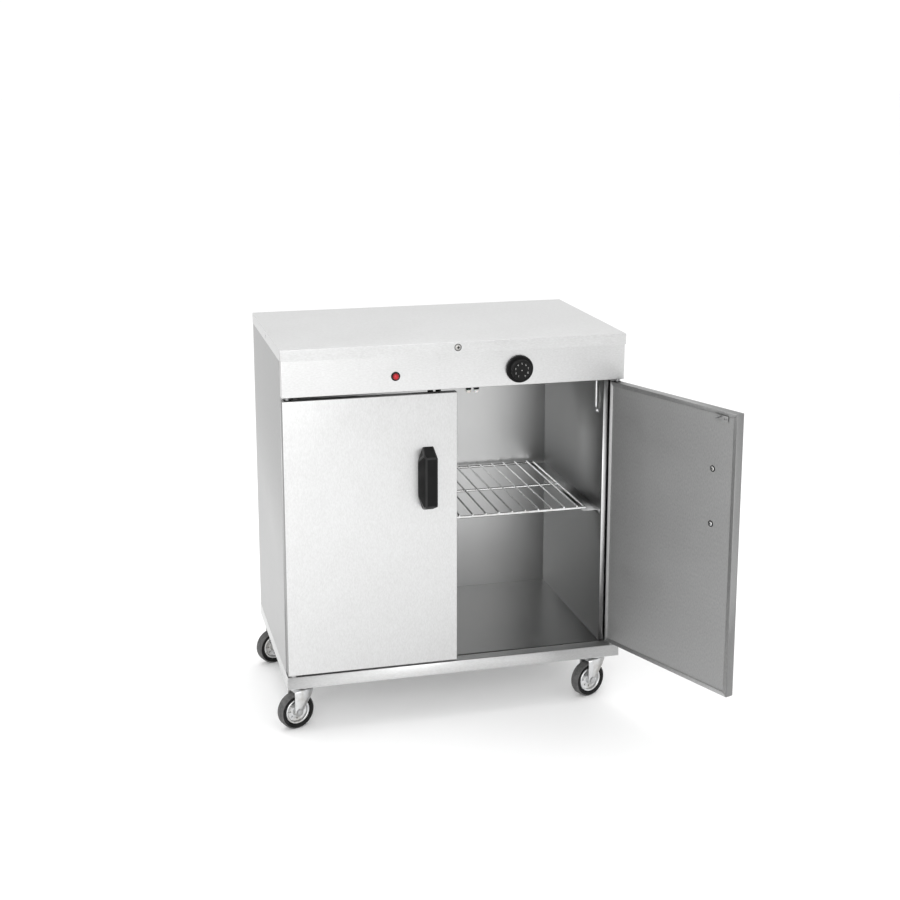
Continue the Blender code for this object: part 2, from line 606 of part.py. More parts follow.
# ---- shelf --------------------------------------------------------------------------------------
def shelf(root):
    front = SIDE_FRONT + SHELF_FRONT_GAP + RAIL_RADIUS
    back = LINER_Y - SHELF_BACK_GAP - RAIL_RADIUS
    z = SHELF_Z - RAIL_RADIUS
    half = LINER_X - SHELF_SIDE_GAP - RAIL_RADIUS
    rod_z = SHELF_Z + ROD_RADIUS - ROD_SINK
    frame = rod("wire_shelf", (-half - RAIL_RADIUS, front, z), (half + RAIL_RADIUS, front, z), RAIL_RADIUS,
                "chrome", root, 10)
    pieces = [((-half - RAIL_RADIUS, back, z), (half + RAIL_RADIUS, back, z), RAIL_RADIUS),
              ((-half, (front + back) / 2, z + FIT), (half, (front + back) / 2, z + FIT), RAIL_RADIUS - FIT)]
    for side in (-1, 1):
        pieces.append(((side * half, front, z), (side * half, back, z), RAIL_RADIUS - FIT / 2))
    count = int(2 * half / ROD_PITCH)
    first = -(count - 1) / 2 * ROD_PITCH
    for number in range(count):
        x = first + number * ROD_PITCH
        pieces.append(((x, front - ROD_RADIUS / 2, rod_z), (x, back + ROD_RADIUS / 2, rod_z), ROD_RADIUS))
    for number, (start, end, radius) in enumerate(pieces):
        sides = 8 if radius == ROD_RADIUS else 10
        wire = rod(f"wire_{number}", start, end, radius, None, root, sides, "cutters")
        boolean(frame, wire, "UNION")

    reach_y = (front - RAIL_RADIUS - RUNNER_LEAD, back + RAIL_RADIUS)
    top = SHELF_Z - 2 * RAIL_RADIUS - FIT
    for label, side in (("left", -1), ("right", 1)):
        wall = side * (LINER_X - FIT)
        edge = side * (LINER_X - RUNNER_REACH)
        outline = [(wall, top), (edge, top), (edge, top - SHEET), (wall - side * SHEET, top - SHEET),
                   (wall - side * SHEET, top - RUNNER_DROP), (wall, top - RUNNER_DROP)]
        middle = sum(reach_y) / 2
        stand = Matrix.Translation((0, middle, 0)) @ Matrix.Rotation(math.pi / 2, 4, "X")
        length = reach_y[1] - reach_y[0]
        prism(f"shelf_runner_{label}", outline, length, stand, "holding_cabinet", "liner", root)


# ---- doors --------------------------------------------------------------------------------------
def door(label, side, hinge):
    """One door about its pivot axis. Its free edge lies towards -side, its outer face towards -Y."""
    to_free = -side
    hinge_x = -to_free * HINGE_EDGE
    free_x = hinge_x + to_free * DOOR_WIDTH
    low_x, high_x = min(hinge_x, free_x), max(hinge_x, free_x)
    half = DOOR_THICKNESS / 2
    top = DOOR_BOTTOM + DOOR_HEIGHT

    skin = pan(f"door_skin_{label}", (low_x, -half, DOOR_BOTTOM), (high_x, half, top), (0, 1, 0),
               DOOR_SKIN, "steel", hinge, DOOR_LIP)
    for z in (DOOR_BOTTOM, top):
        drill(skin, (0, 0, z - 5 * DOOR_SKIN), (0, 0, z + 5 * DOOR_SKIN),
              PIVOT_RADIUS + PIVOT_CLEARANCE, hinge)
    inset = DOOR_SKIN + FIT
    liner_low = (low_x + inset, half - 2 * DOOR_SKIN - FIT, DOOR_BOTTOM + inset)
    liner_high = (high_x - inset, half - DOOR_SKIN - FIT, top - inset)
    inner = box(f"door_liner_{label}", liner_low, liner_high, "liner", hinge)

    handle_x = free_x - to_free * HANDLE_FROM_EDGE
    door_handle(label, to_free, handle_x, HANDLE_Z, -half - FIT, hinge)
    screw_x = handle_x - to_free * HANDLE_SCREW_INSET
    for end, along in (("upper", 1), ("lower", -1)):
        z = HANDLE_Z + along * (HANDLE_LENGTH / 2 - HANDLE_SCREW_END)
        for sheet in (skin, inner):
            drill(sheet, (screw_x, -2 * half, z), (screw_x, 2 * half, z), SCREW_RADIUS + FIT, hinge, 16)
        seat = half - DOOR_SKIN
        tip = seat + half + HANDLE_SCREW_BITE
        turned(f"handle_screw_{label}_{end}", screw_profile(tip), (screw_x, seat, z), (0, 1, 0),
               "zinc", hinge, 12)

    strike(label, to_free, hinge, top)


def door_handle(label, to_free, x, z, face, hinge):
    """Tapered moulding. Its closed side slopes in, and its other side opens on a finger pocket."""
    size = (HANDLE_WIDTH, HANDLE_HEIGHT, HANDLE_LENGTH)
    shape = bmesh.new()
    bmesh.ops.create_cube(shape, size=1, matrix=Matrix.Diagonal((*size, 1)))
    for corner in shape.verts:
        if corner.co.y < 0:
            corner.co.z -= math.copysign(HANDLE_TAPER, corner.co.z)
            if corner.co.x < 0:
                corner.co.x += HANDLE_WIDTH - HANDLE_GRIP
    across, along = HANDLE_CORNER
    for end in (-1, 1):
        everything = shape.verts[:] + shape.edges[:] + shape.faces[:]
        corner = (-HANDLE_WIDTH / 2, 0, end * (HANDLE_LENGTH / 2 - along))
        bmesh.ops.bisect_plane(shape, geom=everything, plane_co=corner, plane_no=(-along, 0, end * across),
                               clear_outer=True)
        bmesh.ops.holes_fill(shape, edges=shape.edges)
    bmesh.ops.scale(shape, verts=shape.verts, vec=(to_free, 1, 1))
    middle = (x - to_free * HANDLE_WIDTH / 2, face - HANDLE_HEIGHT / 2, z)
    bmesh.ops.translate(shape, verts=shape.verts, vec=middle)
    bmesh.ops.recalc_face_normals(shape, faces=shape.faces)
    mesh = bpy.data.meshes.new(f"door_handle_{label}")
    shape.to_mesh(mesh)
    shape.free()
    handle = bpy.data.objects.new(mesh.name, mesh)
    bpy.context.scene.collection.objects.link(handle)
    place(handle, mesh.name, "black", hinge)
    rounded = handle.modifiers.new("round", "BEVEL")
    rounded.width = HANDLE_ROUND
    rounded.segments = 2
    rounded.limit_method = "ANGLE"

    past = 2 * HANDLE_ROUND
    near, far = sorted((x - to_free * POCKET_WIDTH, x + to_free * past))
    half = HANDLE_LENGTH / 2 - POCKET_END
    pocket = box(f"handle_pocket_{label}", (near, face - HANDLE_HEIGHT + POCKET_FRONT, z - half),
                 (far, face + past, z + half), None, hinge, "cutters")
    boolean(handle, pocket, "DIFFERENCE")
    for end in (1, -1):
        screw_x = x - to_free * HANDLE_SCREW_INSET
        screw_z = z + end * (HANDLE_LENGTH / 2 - HANDLE_SCREW_END)
        drill(handle, (screw_x, face + past, screw_z), (screw_x, face - HANDLE_SCREW_BITE - past, screw_z),
              SCREW_RADIUS + FIT, hinge, 12)


def strike(label, to_free, hinge, top):
    """Plate on the door's inner face whose tongue runs between the catch's two rollers."""
    free_edge = to_free * (DOOR_WIDTH - HINGE_EDGE)
    centre = free_edge - to_free * (CATCH_INSET - DOOR_CENTRE_GAP / 2)
    face = DOOR_THICKNESS / 2 + FIT
    plate_z = top - STRIKE_DROP
    plate = box(f"strike_{label}", (centre - STRIKE_WIDTH / 2, face, plate_z - STRIKE_HEIGHT / 2),
                (centre + STRIKE_WIDTH / 2, face + SHEET, plate_z + STRIKE_HEIGHT / 2), "zinc", hinge)
    reach = DOOR_SETBACK + CATCH_DEPTH
    tongue_z = top - TONGUE_DROP
    tongue = box(f"tongue_{label}", (centre - STRIKE_TONGUE / 2, face + SHEET / 2, tongue_z - TONGUE_HEIGHT),
                 (centre + STRIKE_TONGUE / 2, face + reach, tongue_z), None, hinge, "cutters")
    boolean(plate, tongue, "UNION")


def catches(root):
    """A twin-roller catch under the ceiling for each door."""
    shoulder = CATCH_DOME - CATCH_LENGTH
    eighth = math.sqrt(0.5)
    profile = [(0, 0), (CATCH_ROLLER_RADIUS, 0), (CATCH_ROLLER_RADIUS, shoulder),
               (CATCH_ROLLER_RADIUS * eighth, shoulder - CATCH_DOME * eighth), (0, -CATCH_LENGTH)]
    y = SIDE_FRONT + CATCH_DEPTH
    half = CATCH_ROLLER_PITCH / 2 + CATCH_ROLLER_RADIUS
    top = CEILING_Z - FIT
    for label, side in (("left", -1), ("right", 1)):
        x = side * CATCH_INSET
        body = box(f"roller_catch_{label}", (x - half, y - CATCH_FRONT, top - CATCH_PLATE),
                   (x + half, y + CATCH_REAR, top), "nylon", root)
        for place_x in (-1, 1):
            centre = (x + place_x * CATCH_ROLLER_PITCH / 2, y, top - CATCH_PLATE / 2)
            roller = turned(f"roller_{label}_{place_x}", profile, centre, (0, 0, 1), None, root, 16,
                            collection="cutters")
            boolean(body, roller, "UNION")


# ---- castors ------------------------------------------------------------------------------------
def castor(label, x, y, root):
    plate_top = BASE_Z - FIT
    plate_z = plate_top - CASTOR_PLATE_THICKNESS
    half = CASTOR_PLATE / 2
    plate = box(f"castor_plate_{label}", (x - half, y - half, plate_z), (x + half, y + half, plate_top),
                "zinc", root)
    seat = CASTOR_PLATE_THICKNESS / 2
    race = [(0, seat), (RACE_RADIUS, seat), (RACE_RADIUS, -RACE_DEPTH), (0, -RACE_DEPTH)]
    ring = turned(f"race_{label}", race, (x, y, plate_z), (0, 0, 1), None, root, 20, collection="cutters")
    boolean(plate, ring, "UNION")
    bolt = half - CASTOR_NUT_INSET
    for sx in (-1, 1):
        for sy in (-1, 1):
            start = (x + sx * bolt, y + sy * bolt, plate_z + seat)
            end = (x + sx * bolt, y + sy * bolt, plate_z - CASTOR_NUT)
            nut = rod(f"nut_{label}_{sx}_{sy}", start, end, CASTOR_NUT_RADIUS, None, root, 6, "cutters")
            boolean(plate, nut, "UNION")

    swivel = pivot(f"castor_swivel_{label}", (x, y, 0), CASTOR_YAW, root)
    fork(label, swivel)
    cheek = FORK_GAP / 2 + FORK_SHEET + FIT
    reach = cheek + AXLE_HEAD
    profile = [(0, reach), (AXLE_HEAD_RADIUS, reach), (AXLE_HEAD_RADIUS, cheek), (AXLE_RADIUS, cheek),
               (AXLE_RADIUS, -cheek), (AXLE_HEAD_RADIUS, -cheek), (AXLE_HEAD_RADIUS, -reach), (0, -reach)]
    turned(f"castor_axle_{label}", profile, (-CASTOR_TRAIL, 0, AXLE_Z), (0, -1, 0), "zinc", swivel, 12)
    wheel(label, pivot(f"castor_axis_{label}", (-CASTOR_TRAIL, 0, AXLE_Z), 0.0, swivel))


def mirrored(side):
    """A closed wheel section from the points of its upper half, listed outwards from the bore."""
    return side + [(radius, -height) for radius, height in reversed(side)] + side[:1]


def wheel(label, axis):
    """Pressed wheel centre with a hub and a rolled edge, and a solid tyre with rounded shoulders."""
    seat = WHEEL_RADIUS - TYRE_DEPTH
    hub = FORK_GAP / 2 - HUB_GAP
    rim = TYRE_WIDTH / 2 - RIM_INSET
    web = WEB_THICKNESS / 2
    side = [(AXLE_RADIUS + AXLE_CLEARANCE, hub), (HUB_RADIUS, hub), (HUB_RADIUS + HUB_FLARE, web),
            (seat - 2 * RIM_EDGE, web), (seat - RIM_EDGE, rim), (seat, rim)]
    turned(f"castor_rim_{label}", mirrored(side), (0, 0, 0), (0, -1, 0), "rim", axis, 24)
    tread = TYRE_WIDTH / 2
    inner = seat + FIT
    core, core_side = WHEEL_RADIUS - TYRE_SHOULDER, tread - TYRE_SHOULDER
    shoulder = [(core + TYRE_SHOULDER * math.sin(angle), core_side + TYRE_SHOULDER * math.cos(angle))
                for angle in (0, math.pi / 4, math.pi / 2)]
    side = [(inner, tread - TYRE_DISH), (inner + TYRE_DISH, tread), *shoulder]
    turned(f"castor_tyre_{label}", mirrored(side), (0, 0, 0), (0, -1, 0), "tyre", axis, 32)


def fork(label, swivel):
    """Pressed fork: a flat crown with two cheeks, upright behind the axle and narrowing to it in front."""
    back = -CASTOR_TRAIL - FORK_TIP
    half = FORK_GAP / 2 + FORK_SHEET
    crown = box(f"castor_fork_{label}", (back, -half, CROWN_TOP - FORK_SHEET),
                (back + FORK_WIDTH, half, CROWN_TOP), "zinc", swivel)
    top = CROWN_TOP - FORK_SHEET / 2
    shoulder, shoulder_width = FORK_SHOULDER
    arc_steps = 6
    outline = [(back, top), (back + FORK_WIDTH, top), (back + shoulder_width, AXLE_Z + shoulder)]
    for step in range(arc_steps + 1):
        angle = -math.pi * step / arc_steps
        outline.append((-CASTOR_TRAIL + FORK_TIP * math.cos(angle), AXLE_Z + FORK_TIP * math.sin(angle)))
    for side in (-1, 1):
        offset = side * (FORK_GAP + FORK_SHEET) / 2
        stand = Matrix.Translation((0, offset, 0)) @ Matrix.Rotation(math.pi / 2, 4, "X")
        cheek = prism(f"cheek_{label}_{side}", outline, FORK_SHEET, stand, "cutters", None, swivel)
        boolean(crown, cheek, "UNION")
    drill(crown, (-CASTOR_TRAIL, -FORK_GAP, AXLE_Z), (-CASTOR_TRAIL, FORK_GAP, AXLE_Z), AXLE_RADIUS + FIT,
          swivel, 12)
    drill(crown, (0, 0, CROWN_TOP - 2 * FORK_SHEET), (0, 0, CROWN_TOP + FORK_SHEET), KING_PIN_RADIUS,
          swivel, 12)


# ---- assembly -----------------------------------------------------------------------------------
def stand_on_origin(root):
    """Moves the whole object so that the origin is on the floor, under the middle of its box."""
    bpy.context.view_layer.update()
    graph = bpy.context.evaluated_depsgraph_get()
    points = []
    for obj in bpy.data.collections["holding_cabinet"].objects:
        if obj.type == "MESH":
            seen = obj.evaluated_get(graph)
            points += [seen.matrix_world @ vertex.co for vertex in seen.data.vertices]
    for axis in (0, 1):
        values = [point[axis] for point in points]
        root.location[axis] = -(min(values) + max(values)) / 2


def build():
    root = pivot("cabinet", (0, 0, 0))
    worktop_and_base(root)
    side_panels(root)
    back_and_fascia(root)
    liner(root)
    spin = pivot("knob_axis", (KNOB_X, FASCIA_FACE, KNOB_Z), 0.0, root)
    thermostat(root, spin)
    lamp(root)
    cable_inlet(root)
    heating_element(root)
    shelf(root)
    catches(root)
    door("left", -1, pivot("left_door_pivot", (-PIVOT_X, PIVOT_Y, 0), 0.0, root))
    door("right", 1, pivot("right_door_pivot", (PIVOT_X, PIVOT_Y, 0), DOOR_OPEN, root))
    castor_x = WIDTH / 2 - CASTOR_SIDE_INSET
    castor_y = DEPTH / 2 - CASTOR_END_INSET
    for label, side in (("left", -1), ("right", 1)):
        castor(f"front_{label}", side * castor_x, -castor_y, root)
        castor(f"rear_{label}", side * castor_x, castor_y, root)
    stand_on_origin(root)


clear_scene()
MATERIALS = make_materials()
build()
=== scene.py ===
"""Looks of a mobile heated holding cabinet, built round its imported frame. Metres, +Z up, front to -Y."""

import json
import math

import bmesh
import bpy
from mathutils import Matrix, Vector


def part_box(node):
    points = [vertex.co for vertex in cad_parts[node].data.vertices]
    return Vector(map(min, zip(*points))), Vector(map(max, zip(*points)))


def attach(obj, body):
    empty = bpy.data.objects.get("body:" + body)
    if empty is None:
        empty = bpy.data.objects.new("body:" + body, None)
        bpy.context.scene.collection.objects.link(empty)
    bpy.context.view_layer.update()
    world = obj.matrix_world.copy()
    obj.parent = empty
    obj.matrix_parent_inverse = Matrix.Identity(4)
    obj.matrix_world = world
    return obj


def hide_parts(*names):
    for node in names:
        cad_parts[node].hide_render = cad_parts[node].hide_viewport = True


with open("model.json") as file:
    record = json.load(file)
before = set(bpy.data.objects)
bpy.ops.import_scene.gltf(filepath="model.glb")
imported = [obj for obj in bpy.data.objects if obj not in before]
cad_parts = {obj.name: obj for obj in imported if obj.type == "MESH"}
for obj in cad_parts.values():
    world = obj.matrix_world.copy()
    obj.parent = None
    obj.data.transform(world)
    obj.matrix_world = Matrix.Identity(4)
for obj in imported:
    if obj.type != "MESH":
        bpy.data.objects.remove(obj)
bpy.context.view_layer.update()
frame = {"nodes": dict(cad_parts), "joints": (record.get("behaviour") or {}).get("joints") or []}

MM = 0.001
SHEET = 1.4 * MM            # wall of the folded casing sheets
DOOR_SHEET = 1.2 * MM
FORK_SHEET = 2.5 * MM
BEND = 1.6 * MM             # outer radius of the casing's folds
TOP_BEND = 1.1 * MM
DOOR_BEND = 1.2 * MM
CORNER_GAP = 0.7 * MM       # hairline where two folds of a sheet meet
FIT = 0.3 * MM              # gap between pieces that touch
HAIR = 0.1 * MM             # gap under a washer or a head
MERGE = 0.001 * MM          # points closer than this are one
SMOOTH_ANGLE = math.radians(32)
CORNERS = ("front_left", "front_right", "rear_left", "rear_right")


# ---- places, all read from the frame ------------------------------------------------------------
def joint(name):
    return next(j for j in frame["joints"] if j["name"] == name)


def span(node):
    """A node's box as its lowest corner, highest corner and middle."""
    low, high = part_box(node)
    return low, high, (low + high) / 2


def at(x, y, z):
    return Matrix.Translation((x, y, z))


def turn(angle, axis="Z"):
    return Matrix.Rotation(angle, 4, axis)


FACING_FRONT = turn(math.pi / 2, "X")          # turns a tray that faces +Z to face -Y
FACING_DOWN = turn(math.pi, "X")
ALONG_Y = Matrix(((1, 0, 0, 0), (0, 0, 1, 0), (0, 1, 0, 0), (0, 0, 0, 1)))   # plan paths as sections along Y
OPENED = math.radians(-joint("right_door_hinge")["range_deg"][0])


def door_matrix(side):
    """A door's own frame: origin on its hinge line at the floor, +X to its free edge, +Y inwards if shut."""
    hinge = Vector(joint(f"{side}_door_hinge")["pos_m"])
    place = at(hinge.x, hinge.y, 0)
    if side == "left":
        return place
    return place @ turn(OPENED) @ Matrix.Diagonal((-1, 1, 1, 1))


def castor_matrix(corner):
    """A castor's own frame: origin under its swivel on the floor, wheel towards -X, wheel axis along Y."""
    swivel = Vector(joint(f"{corner}_swivel")["pos_m"])
    trail = Vector(joint(f"{corner}_roll")["pos_m"]) - swivel
    return at(swivel.x, swivel.y, 0) @ turn(math.atan2(-trail.y, -trail.x))


WHEEL_AXLE = Vector(joint("front_left_roll")["pos_m"])
CASTOR_TRAIL = (WHEEL_AXLE - Vector(joint("front_left_swivel")["pos_m"])).xy.length
AXLE_Z = WHEEL_AXLE.z


# ---- shader arithmetic --------------------------------------------------------------------------
class Number:
    """A shader number that can stand in a sum."""

    def __init__(self, finish, socket):
        self.finish, self.socket = finish, socket

    def worked(self, operation, first, second):
        made = self.finish.node("ShaderNodeMath", {"operation": operation}, {0: first, 1: second})
        return Number(self.finish, made.outputs[0])

    def __add__(self, other):
        return self.worked("ADD", self, other)

    def __sub__(self, other):
        return self.worked("SUBTRACT", self, other)

    def __rsub__(self, other):
        return self.worked("SUBTRACT", other, self)

    def __mul__(self, other):
        return self.worked("MULTIPLY", self, other)

    __radd__, __rmul__ = __add__, __mul__


class Finish:
    """A material being built: its nodes, its shader and the place that its patterns read."""

    def __init__(self, name, **constants):
        self.material = bpy.data.materials.new(name)
        self.material.use_nodes = True
        self.tree = self.material.node_tree
        self.shader = self.tree.nodes["Principled BSDF"]
        for socket, value in constants.items():
            self.set(socket.replace("_", " "), value)
        self.place = self.node("ShaderNodeTexCoord").outputs["Object"]

    def node(self, kind, settings=None, inputs=None):
        """Adds a node, its settings first and then the values or links of its inputs."""
        made = self.tree.nodes.new(kind)
        for key, value in (settings or {}).items():
            setattr(made, key, value)
        for key, value in (inputs or {}).items():
            self.feed(made.inputs[key], value)
        return made

    def feed(self, socket, value):
        if isinstance(value, Number):
            value = value.socket
        if isinstance(value, bpy.types.NodeSocket):
            self.tree.links.new(value, socket)
        else:
            socket.default_value = value

    def set(self, socket, value):
        self.feed(self.shader.inputs[socket], value)

    def mapped(self, scale=(1, 1, 1), turned_by=0.0, centre=(0, 0, 0)):
        """The piece's place seen from a centre, turned back about +Z, then scaled for a pattern."""
        return self.node("ShaderNodeMapping", {"vector_type": "TEXTURE"},
                         {"Vector": self.place, "Location": centre, "Rotation": (0, 0, turned_by),
                          "Scale": tuple(1 / s for s in scale)}).outputs[0]

    def noise(self, vector, scale=1.0, detail=2.0, roughness=0.5):
        made = self.node("ShaderNodeTexNoise", {}, {"Vector": vector, "Scale": scale, "Detail": detail,
                                                    "Roughness": roughness})
        return Number(self, made.outputs[0])

    def spread(self, number, low, high, to_low=0.0, to_high=1.0):
        """A number's range stretched to another, and held inside it."""
        made = self.node("ShaderNodeMapRange", {}, {"Value": number, "From Min": low, "From Max": high,
                                                    "To Min": to_low, "To Max": to_high})
        return Number(self, made.outputs[0])

    def blend(self, mask, first, second):
        """A colour that is the first where the mask is 0 and the second where it is 1."""
        made = self.node("ShaderNodeMix", {"data_type": "RGBA"}, {0: mask, 6: first, 7: second})
        return made.outputs[2]

    def bump(self, height, strength):
        """Relief from a height in metres."""
        made = self.node("ShaderNodeBump", {}, {"Height": height, "Distance": 1.0, "Strength": strength})
        self.set("Normal", made.outputs[0])


def grey(value, tint=(1.0, 1.0, 1.0)):
    return (value * tint[0], value * tint[1], value * tint[2], 1.0)


# ---- finishes -----------------------------------------------------------------------------------
def grain_scale(along):
    """Scale of a rolled sheet's grain: a little longer along one axis than across it."""
    across_grain, along_grain = 430, 170
    return tuple(along_grain if axis == along else across_grain for axis in "XYZ")


def satin_sheet(name, along, colour=0.62, roughness=0.37, turned_by=0.0, contrast=0.08):
    """Satin stainless sheet: a fine even speckle, faint wipe marks, small specks and slight dents."""
    finish = Finish(name, Metallic=1.0)
    grain = finish.noise(finish.mapped(grain_scale(along), turned_by), 1.0, 2.0, 0.6)
    wipes = finish.noise(finish.mapped((3.1, 3.1, 4.3), turned_by), 1.6, 4.0, 0.62)
    specks = finish.noise(finish.place, 38.0, 2.0, 0.5)
    stained = finish.spread(wipes * 0.7 + specks * 0.3, 0.36, 0.66)
    shade = finish.spread(grain, 0.28, 0.72) * 0.8 + stained * 0.2
    dark = grey(colour * (1 - contrast), (1, 1, 0.995))
    light = grey(colour * (1 + contrast), (0.995, 1, 1.0))
    finish.set("Base Color", finish.blend(shade, dark, light))
    finish.set("Roughness", roughness + (grain - 0.5) * 0.1 + (stained - 0.5) * 0.06)
    dents = finish.noise(finish.mapped((2.2, 2.2, 1.6), turned_by), 1.0, 1.0, 0.4)
    finish.bump(grain * 0.00003 + dents * 0.0010, 0.35)
    return finish.material


def bright_sheet(name, along, colour, roughness):
    """Bright-rolled stainless lining: half a mirror, a little cloudy, with rolling lines and a few scuffs."""
    finish = Finish(name, Metallic=1.0)
    lines = finish.noise(finish.mapped(grain_scale(along)), 1.0, 2.0, 0.5)
    clouds = finish.noise(finish.mapped((4, 4, 2.6)), 1.3, 3.0, 0.5)
    scuffs = finish.spread(finish.noise(finish.mapped((30, 30, 380)), 1.0, 4.0, 0.7), 0.62, 0.8)
    dark, light = grey(colour * 0.96, (0.99, 1, 1)), grey(colour * 1.04, (1, 1, 0.995))
    finish.set("Base Color", finish.blend(finish.spread(clouds, 0.3, 0.7), dark, light))
    finish.set("Roughness", roughness + clouds * 0.06 + scuffs * 0.08 + (lines - 0.5) * 0.05)
    dents = finish.noise(finish.mapped((2.0, 2.0, 1.2)), 1.0, 1.0, 0.3)
    finish.bump(lines * 0.000006 + dents * 0.0006, 0.4)
    return finish.material


def zinc_plate(name, colour):
    """Bright zinc plate: blue-grey, mottled, duller where it has been handled."""
    finish = Finish(name, Metallic=1.0)
    mottle = finish.noise(finish.place, 140.0, 4.0, 0.6)
    dull = finish.spread(finish.noise(finish.place, 32.0, 3.0, 0.6), 0.42, 0.62)
    bright = grey(colour * 1.08, (0.98, 0.99, 1.0))
    finish.set("Base Color", finish.blend(dull, bright, grey(colour * 0.82, (1.0, 0.985, 0.95))))
    finish.set("Roughness", 0.26 + mottle * 0.16 + dull * 0.12)
    finish.bump(mottle * 0.00006, 0.4)
    return finish.material


def chrome_wire():
    finish = Finish("chrome_wire", Metallic=1.0)
    haze = finish.spread(finish.noise(finish.place, 60.0, 3.0, 0.6), 0.4, 0.7)
    finish.set("Base Color", finish.blend(haze, grey(0.78, (0.99, 1, 1)), grey(0.6, (1, 0.99, 0.97))))
    finish.set("Roughness", 0.08 + haze * 0.16)
    finish.bump(finish.noise(finish.place, 900.0, 2.0) * 0.00003, 0.3)
    return finish.material


def moulded_black(name, grain=1500.0, colour=0.005, roughness=0.42, shine=0.18):
    """Spark-eroded black moulding, rubbed a little glossier in patches, with grey dust in the grain."""
    finish = Finish(name, Specular_IOR_Level=shine)
    cells = finish.node("ShaderNodeTexVoronoi", {"feature": "SMOOTH_F1"},
                        {"Vector": finish.place, "Scale": grain})
    cells = Number(finish, cells.outputs["Distance"])
    rubbed = finish.spread(finish.noise(finish.place, 26.0, 3.0, 0.55), 0.42, 0.62)
    dust = finish.spread(finish.noise(finish.place, 420.0, 4.0, 0.7), 0.55, 0.8)
    finish.set("Base Color", finish.blend(dust * 0.5, grey(colour), grey(colour * 2.4, (1, 0.99, 0.97))))
    finish.set("Roughness", roughness + (1 - rubbed) * 0.14 + cells * 0.08)
    finish.bump(cells * 0.00012 + finish.noise(finish.place, grain * 0.4, 2.0) * 0.00006, 0.5)
    return finish.material


def tyre_rubber(name, colour, dust_colour):
    """Solid rubber, with floor dust in its pores and fine scuffs."""
    finish = Finish(name, Specular_IOR_Level=0.15)
    pores = finish.noise(finish.place, 1300.0, 3.0, 0.65)
    dust = finish.spread(finish.noise(finish.place, 75.0, 4.0, 0.65), 0.4, 0.72)
    finish.set("Base Color", finish.blend(dust, grey(colour), grey(dust_colour, (1, 0.99, 0.975))))
    finish.set("Roughness", 0.56 + dust * 0.22 + (pores - 0.5) * 0.1)
    finish.bump(pores * 0.00012, 0.45)
    return finish.material


def red_lens():
    """Clear red plastic over a neon: darker to its rim and between its moulded rings."""
    low, high, middle = span("lamp_lens")
    finish = Finish("red_lens", Coat_Weight=0.25, Coat_Roughness=0.2, Specular_IOR_Level=0.3,
                    Emission_Strength=0.06)
    flat = finish.node("ShaderNodeVectorMath", {"operation": "MULTIPLY"},
                       {0: finish.mapped(centre=middle), 1: (1, 0, 1)}).outputs[0]
    length = finish.node("ShaderNodeVectorMath", {"operation": "LENGTH"}, {0: flat})
    radius = Number(finish, length.outputs["Value"])
    wave = finish.node("ShaderNodeMath", {"operation": "SINE"}, {0: radius * 5200})
    rings = Number(finish, wave.outputs[0])
    glow = finish.spread(radius, 0.0, (high.x - low.x) / 2, 1.0, 0.25)
    finish.set("Base Color", finish.blend(glow, (0.12, 0.001, 0.004, 1), (0.5, 0.004, 0.014, 1)))
    finish.set("Emission Color", finish.blend(glow, (0.03, 0.0, 0.0, 1), (0.7, 0.006, 0.012, 1)))
    finish.set("Roughness", 0.26 + finish.noise(finish.place, 500.0) * 0.08)
    finish.bump(rings * 0.00008, 0.5)
    return finish.material


def white_nylon():
    finish = Finish("white_nylon", Subsurface_Weight=0.15, Subsurface_Scale=0.002)
    grime_and_painted_shade = finish.spread(finish.noise(finish.place, 160.0, 3.0, 0.6), 0.45, 0.75)
    finish.set("Base Color", finish.blend(grime_and_painted_shade, grey(0.8, (1, 1, 0.97)), grey(0.6, (1, 0.97, 0.9))))
    finish.set("Roughness", 0.38 + grime_and_painted_shade * 0.2)
    finish.bump(finish.noise(finish.place, 700.0, 2.0) * 0.00005, 0.3)
    return finish.material


def dial_print():
    finish = Finish("dial_print")
    worn = finish.spread(finish.noise(finish.place, 900.0, 4.0, 0.7), 0.5, 0.75)
    finish.set("Base Color", finish.blend(worn, grey(0.36, (1, 1, 0.97)), grey(0.16)))
    finish.set("Roughness", 0.45 + worn * 0.2)
    finish.bump(worn * 0.00002, 0.3)
    return finish.material


def heat_dulled():
    """Element sheath: grey-brown steel, straw-tinted where it runs hottest."""
    finish = Finish("heat_dulled", Metallic=1.0)
    heat = finish.spread(finish.noise(finish.place, 18.0, 3.0, 0.6), 0.38, 0.66)
    finish.set("Base Color", finish.blend(heat, grey(0.3), (0.34, 0.27, 0.18, 1)))
    finish.set("Roughness", 0.4 + finish.noise(finish.place, 400.0, 3.0) * 0.2)
    finish.bump(finish.noise(finish.place, 1200.0, 3.0) * 0.0001, 0.4)
    return finish.material


def pale_floor():
    finish = Finish("studio_floor")
    haze = finish.noise(finish.place, 1.2, 2.0, 0.5)
    finish.set("Base Color", finish.blend(haze, grey(0.965), grey(0.985)))
    finish.set("Roughness", 0.62 + haze * 0.1)
    return finish.material


